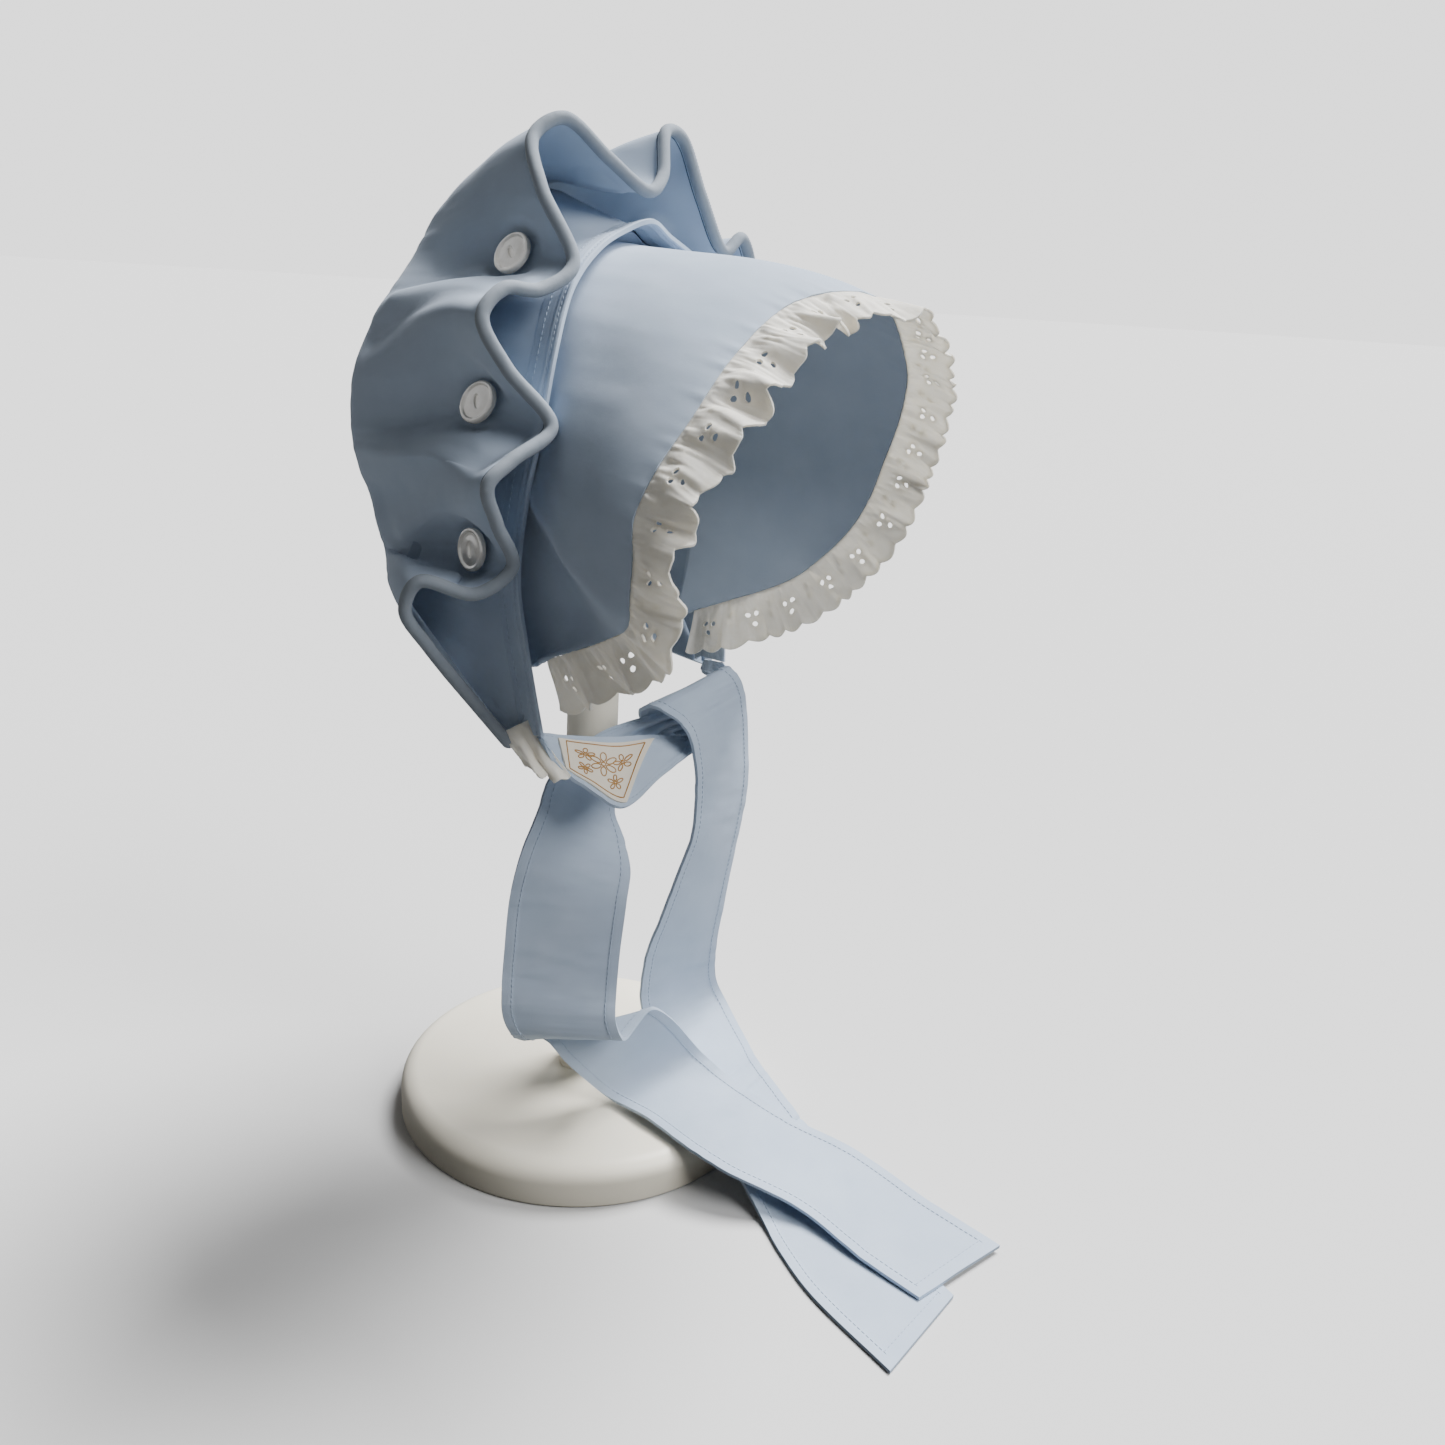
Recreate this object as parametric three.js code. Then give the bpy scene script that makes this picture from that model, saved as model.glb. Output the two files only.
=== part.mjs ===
// A cotton bonnet with a wavy piped crown edge, a visor brim edged with gathered eyelet lace, pearl
// buttons and two wide ties, on a round wooden hat stand.
// Lengths are in millimetres and +Z is up. The origin is the middle of the stand's underside. The
// bonnet faces -Y, and the wearer's right side is -X.
import * as THREE from 'three';

// The stand
const baseDiameter = 190;
const baseThickness = 21;
const baseEdgeRadius = 9;
const postDiameter = 25;
const topDiameter = 96;
const topHeight = 34;

// The bonnet's head opening and its depth
const headWidth = 170;
const headHeight = 212;
const jawHeight = 232;
const crownDepth = 105;
const bandSetback = 25;
const brimLength = 95;

// The cloth and its trims
const crownCloth = 1.6;
const liningCloth = 1.2;
const brimCloth = 2;
const bandCloth = 1.8;
const bandWidth = 13;
const pipingDiameter = 4.8;
const laceWidth = 25;
const laceCloth = 1;
const laceRepeats = 18;
const laceWave = 3.2;
const eyeletLength = 4;
const eyeletWidth = 3;
const tieWidth = 56;
const tieCloth = 1.4;
const labelCloth = 1;
const buttonDiameter = 18;
const buttonThickness = 3;
const shankDiameter = 4;
const shankLength = 1.6;

// The gap that touching pieces keep
const clearance = 0.3;

// One row per bend of the crown's front edge, from the near jaw to the top. The row says where it
// lies round the head, how far to the side, how far behind the band and how high.
const nearFolds = [
  { at: 0.000, side: -0.975, back: 0.086, rise: -0.028 },
  { at: 0.070, side: -1.294, back: 0.295, rise: 0.189 },
  { at: 0.098, side: -1.424, back: 0.314, rise: 0.269 },
  { at: 0.115, side: -1.424, back: 0.238, rise: 0.330 },
  { at: 0.128, side: -1.247, back: 0.086, rise: 0.307 },
  { at: 0.150, side: -1.129, back: -0.010, rise: 0.358 },
  { at: 0.187, side: -1.271, back: -0.029, rise: 0.448 },
  { at: 0.228, side: -1.376, back: -0.057, rise: 0.524 },
  { at: 0.240, side: -1.271, back: -0.095, rise: 0.566 },
  { at: 0.262, side: -1.047, back: -0.133, rise: 0.623 },
  { at: 0.300, side: -1.165, back: 0.000, rise: 0.722 },
  { at: 0.335, side: -1.235, back: 0.067, rise: 0.807 },
  { at: 0.350, side: -1.118, back: 0.048, rise: 0.856 },
  { at: 0.365, side: -0.918, back: 0.010, rise: 0.858 },
  { at: 0.390, side: -0.718, back: -0.019, rise: 0.906 },
];
const topFolds = [
  { at: 0.420, side: -0.706, back: 0.143, rise: 1.038 },
  { at: 0.437, side: -0.588, back: 0.257, rise: 1.132 },
  { at: 0.455, side: -0.424, back: 0.210, rise: 1.170 },
  { at: 0.478, side: -0.200, back: 0.124, rise: 1.108 },
  { at: 0.500, side: 0.012, back: 0.048, rise: 1.057 },
  { at: 0.520, side: 0.176, back: 0.067, rise: 1.090 },
  { at: 0.545, side: 0.353, back: 0.152, rise: 1.184 },
  { at: 0.565, side: 0.541, back: 0.162, rise: 1.179 },
  { at: 0.595, side: 0.624, back: 0.086, rise: 1.061 },
  { at: 0.620, side: 0.741, back: 0.019, rise: 0.958 },
  { at: 0.640, side: 0.906, back: 0.010, rise: 0.991 },
  { at: 0.652, side: 1.094, back: 0.029, rise: 0.925 },
];

// One row per turn of the crown's back outline, from jaw to top on one side
const backTurns = [
  { side: 0.424, back: 0.848, rise: 0.123 },
  { side: 0.647, back: 0.981, rise: 0.264 },
  { side: 0.824, back: 1.019, rise: 0.439 },
  { side: 0.918, back: 1.019, rise: 0.580 },
  { side: 0.882, back: 1.000, rise: 0.698 },
  { side: 0.753, back: 0.962, rise: 0.802 },
  { side: 0.588, back: 0.914, rise: 0.896 },
  { side: 0.329, back: 0.867, rise: 1.019 },
  { side: 0.000, back: 0.829, rise: 1.099 },
];

// One row per turn of the band's front edge and of the brim's base, from jaw to top on one side
const bandTurns = [
  { side: 0.918, back: -0.038, rise: 0.000 },
  { side: 0.976, back: 0.010, rise: 0.189 },
  { side: 1.000, back: 0.038, rise: 0.321 },
  { side: 1.012, back: -0.010, rise: 0.486 },
  { side: 0.988, back: -0.057, rise: 0.613 },
  { side: 0.906, back: -0.067, rise: 0.755 },
  { side: 0.729, back: -0.029, rise: 0.863 },
  { side: 0.471, back: 0.010, rise: 0.934 },
  { side: 0.212, back: 0.029, rise: 0.976 },
  { side: 0.000, back: 0.010, rise: 1.000 },
];
const brimBaseTurns = [
  { side: 0.810, ahead: -0.230, rise: 0.105 },
  { side: 0.860, ahead: -0.200, rise: 0.250 },
  { side: 0.865, ahead: -0.190, rise: 0.392 },
  { side: 0.865, ahead: -0.190, rise: 0.533 },
  { side: 0.830, ahead: -0.190, rise: 0.660 },
  { side: 0.730, ahead: -0.190, rise: 0.774 },
  { side: 0.565, ahead: -0.190, rise: 0.858 },
  { side: 0.306, ahead: -0.190, rise: 0.920 },
  { side: 0.000, ahead: -0.190, rise: 0.943 },
];

// One row per turn of the brim's front edge, where the lace starts, from jaw to jaw
const seamTurns = [
  { side: -0.915, ahead: 0.040, rise: 0.160 },
  { side: -1.045, ahead: 0.442, rise: 0.245 },
  { side: -1.153, ahead: 0.621, rise: 0.297 },
  { side: -1.200, ahead: 0.653, rise: 0.349 },
  { side: -1.224, ahead: 0.674, rise: 0.425 },
  { side: -1.224, ahead: 0.674, rise: 0.495 },
  { side: -1.153, ahead: 0.716, rise: 0.571 },
  { side: -1.000, ahead: 0.779, rise: 0.660 },
  { side: -0.729, ahead: 0.821, rise: 0.769 },
  { side: -0.353, ahead: 0.874, rise: 0.858 },
  { side: 0.000, ahead: 0.989, rise: 0.887 },
  { side: 0.294, ahead: 1.042, rise: 0.868 },
  { side: 0.706, ahead: 0.989, rise: 0.792 },
  { side: 0.941, ahead: 0.947, rise: 0.717 },
  { side: 1.082, ahead: 0.874, rise: 0.623 },
  { side: 1.153, ahead: 0.789, rise: 0.528 },
  { side: 1.176, ahead: 0.716, rise: 0.434 },
  { side: 1.153, ahead: 0.632, rise: 0.358 },
  { side: 1.118, ahead: 0.484, rise: 0.278 },
  { side: 1.040, ahead: 0.347, rise: 0.222 },
  { side: 0.830, ahead: -0.160, rise: 0.118 },
];

// One row per section of a tie. Where it hangs, the row gives its middle, with the height as a share
// of the way from the foot's top to the jaws. Its width runs along the heading, in degrees round +Z,
// and dips by the slope, and wide is the share of the tie's width that is spread out there.
const nearTieHangs = [
  { side: -0.908, back: 0.020, hang: 0.998, heading: -94, slope: 0, wide: 0.20 },
  { side: -0.800, back: -0.026, hang: 0.955, heading: -128, slope: -30, wide: 0.34 },
  { side: -0.566, back: -0.071, hang: 0.907, heading: -145, slope: -30, wide: 0.54 },
  { side: -0.348, back: -0.123, hang: 0.867, heading: -144, slope: -31, wide: 0.74 },
  { side: -0.047, back: -0.172, hang: 0.876, heading: -143, slope: -36, wide: 0.42 },
  { side: 0.220, back: -0.190, hang: 0.876, heading: -128, slope: -22, wide: 0.20 },
  { side: 0.340, back: -0.155, hang: 0.870, heading: -80, slope: -16, wide: 0.26 },
  { side: 0.388, back: -0.085, hang: 0.886, heading: -22, slope: 0, wide: 0.56 },
  { side: 0.330, back: -0.066, hang: 0.934, heading: -16, slope: 5, wide: 0.84 },
  { side: 0.282, back: -0.094, hang: 0.986, heading: -12, slope: 8, wide: 0.97 },
  { side: 0.247, back: -0.171, hang: 1.012, heading: -9, slope: 10, wide: 1 },
  { side: 0.294, back: -0.229, hang: 0.991, heading: -5, slope: 8, wide: 1 },
  { side: 0.372, back: -0.252, hang: 0.948, heading: -1, slope: 5, wide: 1 },
  { side: 0.440, back: -0.267, hang: 0.857, heading: 2, slope: -4, wide: 1 },
  { side: 0.481, back: -0.267, hang: 0.738, heading: 1, slope: -11, wide: 1 },
  { side: 0.472, back: -0.248, hang: 0.618, heading: 3, slope: -14, wide: 1 },
  { side: 0.432, back: -0.181, hang: 0.443, heading: -4, slope: -18, wide: 1 },
  { side: 0.413, back: -0.124, hang: 0.288, heading: -12, slope: -12, wide: 1 },
  { side: 0.455, back: -0.095, hang: 0.173, heading: -14, slope: -3, wide: 1 },
  { side: 0.530, back: -0.150, hang: 0.075, heading: -13, slope: 0, wide: 1 },
];
const farTieHangs = [
  { side: 0.908, back: 0.020, hang: 0.998, heading: -88, slope: 0, wide: 0.20 },
  { side: 0.900, back: -0.010, hang: 0.970, heading: -87, slope: 0, wide: 0.36 },
  { side: 0.840, back: -0.110, hang: 0.940, heading: -80, slope: -50, wide: 0.28 },
  { side: 0.620, back: -0.212, hang: 0.938, heading: -88, slope: -80, wide: 0.22 },
  { side: 0.320, back: -0.205, hang: 0.945, heading: -84, slope: -80, wide: 0.18 },
  { side: 0.080, back: -0.090, hang: 0.926, heading: -60, slope: -60, wide: 0.20 },
  { side: -0.120, back: 0.030, hang: 0.862, heading: -30, slope: -50, wide: 0.54 },
  { side: -0.311, back: 0.099, hang: 0.785, heading: -19, slope: -33, wide: 0.80 },
  { side: -0.370, back: 0.068, hang: 0.713, heading: -24, slope: -28, wide: 0.96 },
  { side: -0.422, back: 0.063, hang: 0.637, heading: -38, slope: -17, wide: 1 },
  { side: -0.466, back: 0.078, hang: 0.542, heading: -52, slope: -2, wide: 1 },
  { side: -0.482, back: 0.095, hang: 0.417, heading: -54, slope: 0, wide: 1 },
  { side: -0.506, back: 0.093, hang: 0.324, heading: -55, slope: -1, wide: 1 },
  { side: -0.552, back: 0.063, hang: 0.256, heading: -64, slope: 3, wide: 1 },
  { side: -0.538, back: 0.029, hang: 0.213, heading: -68, slope: 6, wide: 1 },
  { side: -0.451, back: 0.038, hang: 0.190, heading: -68, slope: 9, wide: 1 },
  { side: -0.299, back: -0.015, hang: 0.205, heading: -48, slope: 14, wide: 1 },
  { side: -0.208, back: -0.086, hang: 0.157, heading: -40, slope: 20, wide: 1 },
  { side: -0.039, back: -0.229, hang: 0.047, heading: -30, slope: 11, wide: 1 },
];
// Where a tie lies on the foot or on the floor, reach is its share of the foot's radius, step is 1 on
// the foot and 0 on the floor, and layer counts the ties below it.
const nearTieLies = [
  { side: 0.400, reach: 0.660, step: 1, layer: 0.6, heading: -11 },
  { side: 0.270, reach: 0.800, step: 1, layer: 0.1, heading: -9 },
  { side: 0.050, reach: 1.060, step: 1, layer: 0, heading: -8 },
  { side: -0.024, reach: 1.260, step: 0.55, layer: 0, heading: -8 },
  { side: -0.106, reach: 1.440, step: 0.10, layer: 0, heading: -14 },
  { side: -0.290, reach: 1.660, step: 0, layer: 0, heading: -18 },
  { side: -0.471, reach: 1.895, step: 0, layer: 0, heading: -16 },
  { side: -0.706, reach: 2.347, step: 0, layer: 0, heading: -7 },
];
const farTieLies = [
  { side: -0.052, reach: 0.750, step: 1, layer: 2.1, heading: -18 },
  { side: -0.125, reach: 1.019, step: 1, layer: 1.3, heading: -11 },
  { side: -0.119, reach: 1.214, step: 0.80, layer: 1.2, heading: -6 },
  { side: -0.006, reach: 1.570, step: 0.27, layer: 1.2, heading: -3 },
  { side: -0.115, reach: 1.985, step: 0.08, layer: 1.1, heading: -11 },
  { side: -0.211, reach: 2.360, step: 0, layer: 1.3, heading: -20 },
];

// One row per button: its place round the crown's edge and back from it, and its height over the dip
const buttonPlaces = [
  { at: 0.152, deep: 0.130, seat: 1.8 },
  { at: 0.264, deep: 0.200, seat: 1.6 },
  { at: 0.390, deep: 0.215, seat: 1.0 },
  { at: 0.500, deep: 0.200, seat: 0.7 },
  { at: 0.610, deep: 0.215, seat: 0.7 },
  { at: 0.736, deep: 0.200, seat: 1.6 },
  { at: 0.848, deep: 0.130, seat: 1.8 },
];

// Materials
function paint(color, roughness) {
  return new THREE.MeshStandardMaterial({ color: color, roughness: roughness, metalness: 0 });
}
const blueCotton = paint('#a9bdd8', 0.85);
const blueCord = paint('#a3b6cf', 0.8);
const whiteLace = paint('#efece4', 0.9);
const ivorySatin = paint('#e6dcc8', 0.6);
const pearl = paint('#f3efe6', 0.2);
const offWhitePaint = paint('#ece6da', 0.45);

const bonnet = new THREE.Group();

function addPiece(name, geometry, material) {
  const mesh = new THREE.Mesh(geometry, material);
  mesh.name = name;
  bonnet.add(mesh);
  return mesh;
}

// A point of the bonnet from its shares of the head's size, y counted behind the band's plane
function headPoint(side, behind, rise) {
  return new THREE.Vector3(side * headWidth / 2, behind - bandSetback, jawHeight + rise * headHeight);
}

// Rows of one side, carried over the top to the other side
function bothSides(rows) {
  const near = rows.map((row) => ({ ...row, side: -row.side }));
  const far = rows.slice(0, -1).reverse();
  return [...near, ...far];
}

function smooth(points) {
  const curve = new THREE.CatmullRomCurve3(points, false, 'centripetal');
  curve.arcLengthDivisions = 600;
  return curve;
}

// Makes a closed cloth shell round a surface: every free edge, holes too, gets a wall
function clothShell(corners, triangles, thickness) {
  const points = [];
  const places = new Map();
  const merged = corners.map((corner) => {
    const key = [corner.x, corner.y, corner.z].map((value) => Math.round(value * 1000)).join(' ');
    if (!places.has(key)) {
      places.set(key, points.length);
      points.push(corner);
    }
    return places.get(key);
  });
  const faces = triangles.map((triangle) => triangle.map((corner) => merged[corner]));
  const normals = points.map(() => new THREE.Vector3());
  const edges = new Map();
  for (const [a, b, c] of faces) {
    const across = new THREE.Vector3().subVectors(points[b], points[a]);
    const along = new THREE.Vector3().subVectors(points[c], points[a]);
    const normal = across.cross(along);
    for (const corner of [a, b, c]) {
      normals[corner].add(normal);
    }
    for (const [from, to] of [[a, b], [b, c], [c, a]]) {
      edges.set(from + ' ' + to, [from, to]);
    }
  }
  const count = points.length;
  const outer = points.map((point, i) => point.clone().addScaledVector(normals[i].normalize(), thickness / 2));
  const inner = points.map((point, i) => point.clone().addScaledVector(normals[i], -thickness / 2));
  const index = [];
  for (const [a, b, c] of faces) {
    index.push(a, b, c, count + a, count + c, count + b);
  }
  for (const [from, to] of edges.values()) {
    if (!edges.has(to + ' ' + from)) {
      index.push(from, count + from, to, to, count + from, count + to);
    }
  }
  const geometry = new THREE.BufferGeometry().setFromPoints([...outer, ...inner]);
  geometry.setIndex(index);
  geometry.computeVertexNormals();
  return geometry;
}

// A cloth shell from rows of points, each row as long as the next
function gridShell(rows, thickness) {
  const wide = rows[0].length;
  const triangles = [];
  for (let i = 0; i + 1 < rows.length; i += 1) {
    for (let j = 0; j + 1 < wide; j += 1) {
      const a = i * wide + j;
      triangles.push([a, a + 1, a + wide + 1], [a, a + wide + 1, a + wide]);
    }
  }
  return clothShell(rows.flat(), triangles, thickness);
}

// The stand: a foot with a rounded upper edge, a rod and a rounded head
const baseRadius = baseDiameter / 2;
const baseProfile = [new THREE.Vector2(0, 0), new THREE.Vector2(baseRadius - 1.5, 0), new THREE.Vector2(baseRadius, 1.5)];
for (let i = 0; i <= 4; i += 1) {
  const turn = i / 4 * Math.PI / 2;
  const radius = baseRadius - baseEdgeRadius + baseEdgeRadius * Math.cos(turn);
  baseProfile.push(new THREE.Vector2(radius, baseThickness - baseEdgeRadius + baseEdgeRadius * Math.sin(turn)));
}
baseProfile.push(new THREE.Vector2(0, baseThickness));
addPiece('stand_base', new THREE.LatheGeometry(baseProfile, 40).rotateX(Math.PI / 2), offWhitePaint);

// The head of the stand carries the brim's base from below
const brimBaseTop = jawHeight + brimBaseTurns[brimBaseTurns.length - 1].rise * headHeight;
const topTop = brimBaseTop - brimCloth / 2 - 2 * clearance;
const postFoot = baseThickness + clearance;
const postHead = topTop - topHeight - clearance;
const post = new THREE.CylinderGeometry(postDiameter / 2, postDiameter / 2, postHead - postFoot, 24);
post.rotateX(Math.PI / 2);
addPiece('stand_post', post, offWhitePaint).position.set(0, 0, (postHead + postFoot) / 2);
const topProfile = [new THREE.Vector2(0, 0)];
for (let i = 0; i <= 5; i += 1) {
  const turn = i / 5 * Math.PI / 2;
  const point = new THREE.Vector2(topDiameter / 2 * Math.cos(turn), 6 + (topHeight - 6) * Math.sin(turn));
  topProfile.push(i === 0 ? new THREE.Vector2(topDiameter / 2 - 4, 0) : point);
}
topProfile[topProfile.length - 1].x = 0;
const top = new THREE.LatheGeometry(topProfile, 24).rotateX(Math.PI / 2);
addPiece('stand_top', top, offWhitePaint).position.set(0, 0, topTop - topHeight);

// The crown's front edge: eight lobes, the far side mirrored from the near one below the top
const mirroredFolds = nearFolds.slice(0, 12).reverse().map((row) => ({ ...row, at: 1 - row.at, side: -row.side }));
const rimFolds = [...nearFolds, ...topFolds, ...mirroredFolds];
const rimCurve = smooth(rimFolds.map((row) => headPoint(row.side, row.back * crownDepth, row.rise)));

function rimAt(share) {
  const t = rimCurve.getUtoTmapping(share);
  const place = Math.min(t * (rimFolds.length - 1), rimFolds.length - 1.000001);
  const row = Math.floor(place);
  const at = THREE.MathUtils.lerp(rimFolds[row].at, rimFolds[row + 1].at, place - row);
  return { point: rimCurve.getPoint(t), at: at };
}

const backCurve = smooth(bothSides(backTurns).map((row) => headPoint(row.side, row.back * crownDepth, row.rise)));

// The cloth runs straight from the edge to the back outline and rounds down to the middle seam
const seamFoot = 0.125;
const seamTop = 0.660;
const seamBack = 1.090;
const seamFootBack = 0.930;
const backBulge = 1.110;
const straightShare = 0.62;

function crownPoint(edge, at, deep) {
  const turn = backCurve.getPointAt(at);
  if (deep <= straightShare) {
    return edge.clone().lerp(turn, deep / straightShare);
  }
  const round = (deep - straightShare) / (1 - straightShare);
  const half = 1 - Math.abs(2 * at - 1);
  const rise = THREE.MathUtils.lerp(seamFoot, seamTop, half);
  const back = THREE.MathUtils.lerp(seamFootBack, seamBack, Math.min(1, half * 1.6));
  const end = headPoint(0, back * crownDepth, rise);
  const pull = headPoint(0, THREE.MathUtils.lerp(back, backBulge, 0.6) * crownDepth, 0);
  pull.x = turn.x * 0.72;
  pull.z = THREE.MathUtils.lerp(turn.z, end.z, 0.22);
  const curve = new THREE.QuadraticBezierCurve3(turn, pull, end);
  return curve.getPoint(round);
}

// The crown's point at a share of the way round the head
function crownSpot(at, deep) {
  let low = 0;
  let high = 1;
  for (let i = 0; i < 24; i += 1) {
    const middle = (low + high) / 2;
    if (rimAt(middle).at < at) {
      low = middle;
    } else {
      high = middle;
    }
  }
  const rim = rimAt((low + high) / 2);
  return crownPoint(rim.point, rim.at, deep);
}

const pipingGap = pipingDiameter / 2 + clearance + 0.65;
const crownSteps = 80;
const crownDepths = [0, 0.12, 0.26, 0.42, 0.54, 0.64, 0.76, 0.88, 1];
const crownRows = [];
for (let i = 0; i <= crownSteps; i += 1) {
  const rim = rimAt(i / crownSteps);
  const mirrored = Math.abs(rim.at - 0.5) < 0.5 ? rim.at : Math.round(rim.at);
  const toBack = backCurve.getPointAt(mirrored).sub(rim.point).normalize();
  const edge = rim.point.clone().addScaledVector(toBack, pipingGap);
  crownRows.push(crownDepths.map((deep) => crownPoint(edge, mirrored, deep)));
}
// The middle seam joins the two sides, so its points on one side are those of the other
const seamSpots = crownRows.map((row) => row[row.length - 1]);
for (let i = 0; i <= crownSteps; i += 1) {
  const twin = seamSpots[crownSteps - i];
  const own = seamSpots[i];
  const joined = own.clone().add(twin).multiplyScalar(0.5);
  joined.x = 0;
  crownRows[i][crownDepths.length - 1] = joined;
}
addPiece('crown', gridShell(crownRows, crownCloth), blueCotton);

// The cord-filled piping along the crown's edge
const pipingSection = new THREE.Shape();
for (let i = 0; i < 6; i += 1) {
  const turn = i / 6 * Math.PI * 2;
  const x = pipingDiameter / 2 * Math.cos(turn);
  const y = pipingDiameter / 2 * Math.sin(turn);
  if (i === 0) {
    pipingSection.moveTo(x, y);
  } else {
    pipingSection.lineTo(x, y);
  }
}
const piping = new THREE.ExtrudeGeometry(pipingSection, { steps: 100, bevelEnabled: false, extrudePath: rimCurve });
addPiece('crown_piping', piping, blueCord);

// The band from jaw to jaw
const bandCurve = smooth(bothSides(bandTurns).map((row) => headPoint(row.side, row.back * crownDepth, row.rise)));
const bandMiddle = headPoint(0, 0, 0.45);
const bandRows = bandCurve.getSpacedPoints(54).map((point) => {
  const inward = new THREE.Vector3(bandMiddle.x - point.x, 0, (bandMiddle.z - point.z) * 0.6).normalize();
  const rear = point.clone().addScaledVector(inward, bandWidth * 0.16);
  rear.y += bandWidth;
  const middle = point.clone().lerp(rear, 0.5).addScaledVector(inward, -0.4);
  return [point, middle, rear];
});
addPiece('band', gridShell(bandRows, bandCloth), blueCotton);

// The crown's inner cloth closes each lobe behind the band
const liningSteps = 54;
const liningDeep = 0.42;
const liningSlack = 1.6;
const liningJawDeep = 0.04;
const liningJawSpan = 0.15;
const liningRows = [];
for (let i = 0; i <= liningSteps; i += 1) {
  const front = bandRows[Math.round(i / liningSteps * (bandRows.length - 1))][2].clone();
  front.y += clearance + 0.3;
  const middle = headPoint(0, 0, 0.5);
  const share = i / liningSteps;
  const fromJaw = THREE.MathUtils.smoothstep(Math.min(share, 1 - share), 0, liningJawSpan);
  const deep = THREE.MathUtils.lerp(liningJawDeep, liningDeep, fromJaw);
  const back = crownSpot(share, deep);
  const reach = Math.hypot(back.x, back.z - middle.z);
  let nearest = reach;
  for (let k = -3; k <= 3; k += 1) {
    const beside = crownSpot(THREE.MathUtils.clamp(share + k * 0.012 * fromJaw, 0, 1), deep);
    nearest = Math.min(nearest, Math.hypot(beside.x, beside.z - middle.z));
  }
  const offset = crownCloth / 2 + liningCloth / 2 + clearance + liningSlack * fromJaw;
  const inside = (nearest - offset) / reach;
  back.x *= inside;
  back.z = middle.z + (back.z - middle.z) * inside;
  liningRows.push([0, 0.33, 0.67, 1].map((way) => front.clone().lerp(back, way)));
}
addPiece('crown_lining', gridShell(liningRows, liningCloth), blueCotton);

// The brim, from its base inside the band to the lace seam
function brimSpot(row) {
  return headPoint(row.side, -row.ahead * brimLength, row.rise);
}
const brimBaseCurve = smooth(bothSides(brimBaseTurns).map(brimSpot));
const seamCurve = smooth(seamTurns.map(brimSpot));
const brimBulge = 0.04;
const brimRows = [];
for (let i = 0; i <= 44; i += 1) {
  const base = brimBaseCurve.getPointAt(i / 44);
  const seam = seamCurve.getPointAt(i / 44);
  const middle = headPoint(0, 0, 0.5);
  const length = base.distanceTo(seam);
  const outward = base.clone().lerp(seam, 0.5).sub(middle).setY(0).normalize();
  const row = [];
  for (let j = 0; j <= 4; j += 1) {
    const share = j / 4;
    const bulge = 6.75 * share * share * (1 - share) * brimBulge * length;
    row.push(base.clone().lerp(seam, share).addScaledVector(outward, bulge));
  }
  brimRows.push(row);
}
addPiece('brim', gridShell(brimRows, brimCloth), blueCotton);

// The lace: one repeat has two scallops and three eyelets, and it stands in gathers
const laceStart = 0.012;
function lacePoint(along, across) {
  const share = THREE.MathUtils.lerp(laceStart, 1 - laceStart, along);
  const seam = seamCurve.getPointAt(share);
  const base = brimBaseCurve.getPointAt(share);
  const tangent = seamCurve.getTangentAt(share);
  const ahead = seam.clone().sub(base);
  const short = 1 - THREE.MathUtils.smoothstep(ahead.length(), 0.15 * brimLength, 0.75 * brimLength);
  ahead.normalize().lerp(new THREE.Vector3(0, -0.2, -1), short);
  ahead.addScaledVector(tangent, -ahead.dot(tangent)).normalize();
  const face = tangent.clone().cross(ahead).normalize();
  const repeats = along * laceRepeats;
  const scallop = 0.90 + 0.10 * Math.abs(Math.sin(repeats * 2 * Math.PI));
  const wave = Math.sin(repeats * 2 * Math.PI) * laceWave * across;
  const curl = -0.16 * laceWidth * across * across;
  const reach = clearance + 0.35 + across * laceWidth * scallop;
  return seam.clone().addScaledVector(ahead, reach).addScaledVector(face, wave - curl);
}

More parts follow.
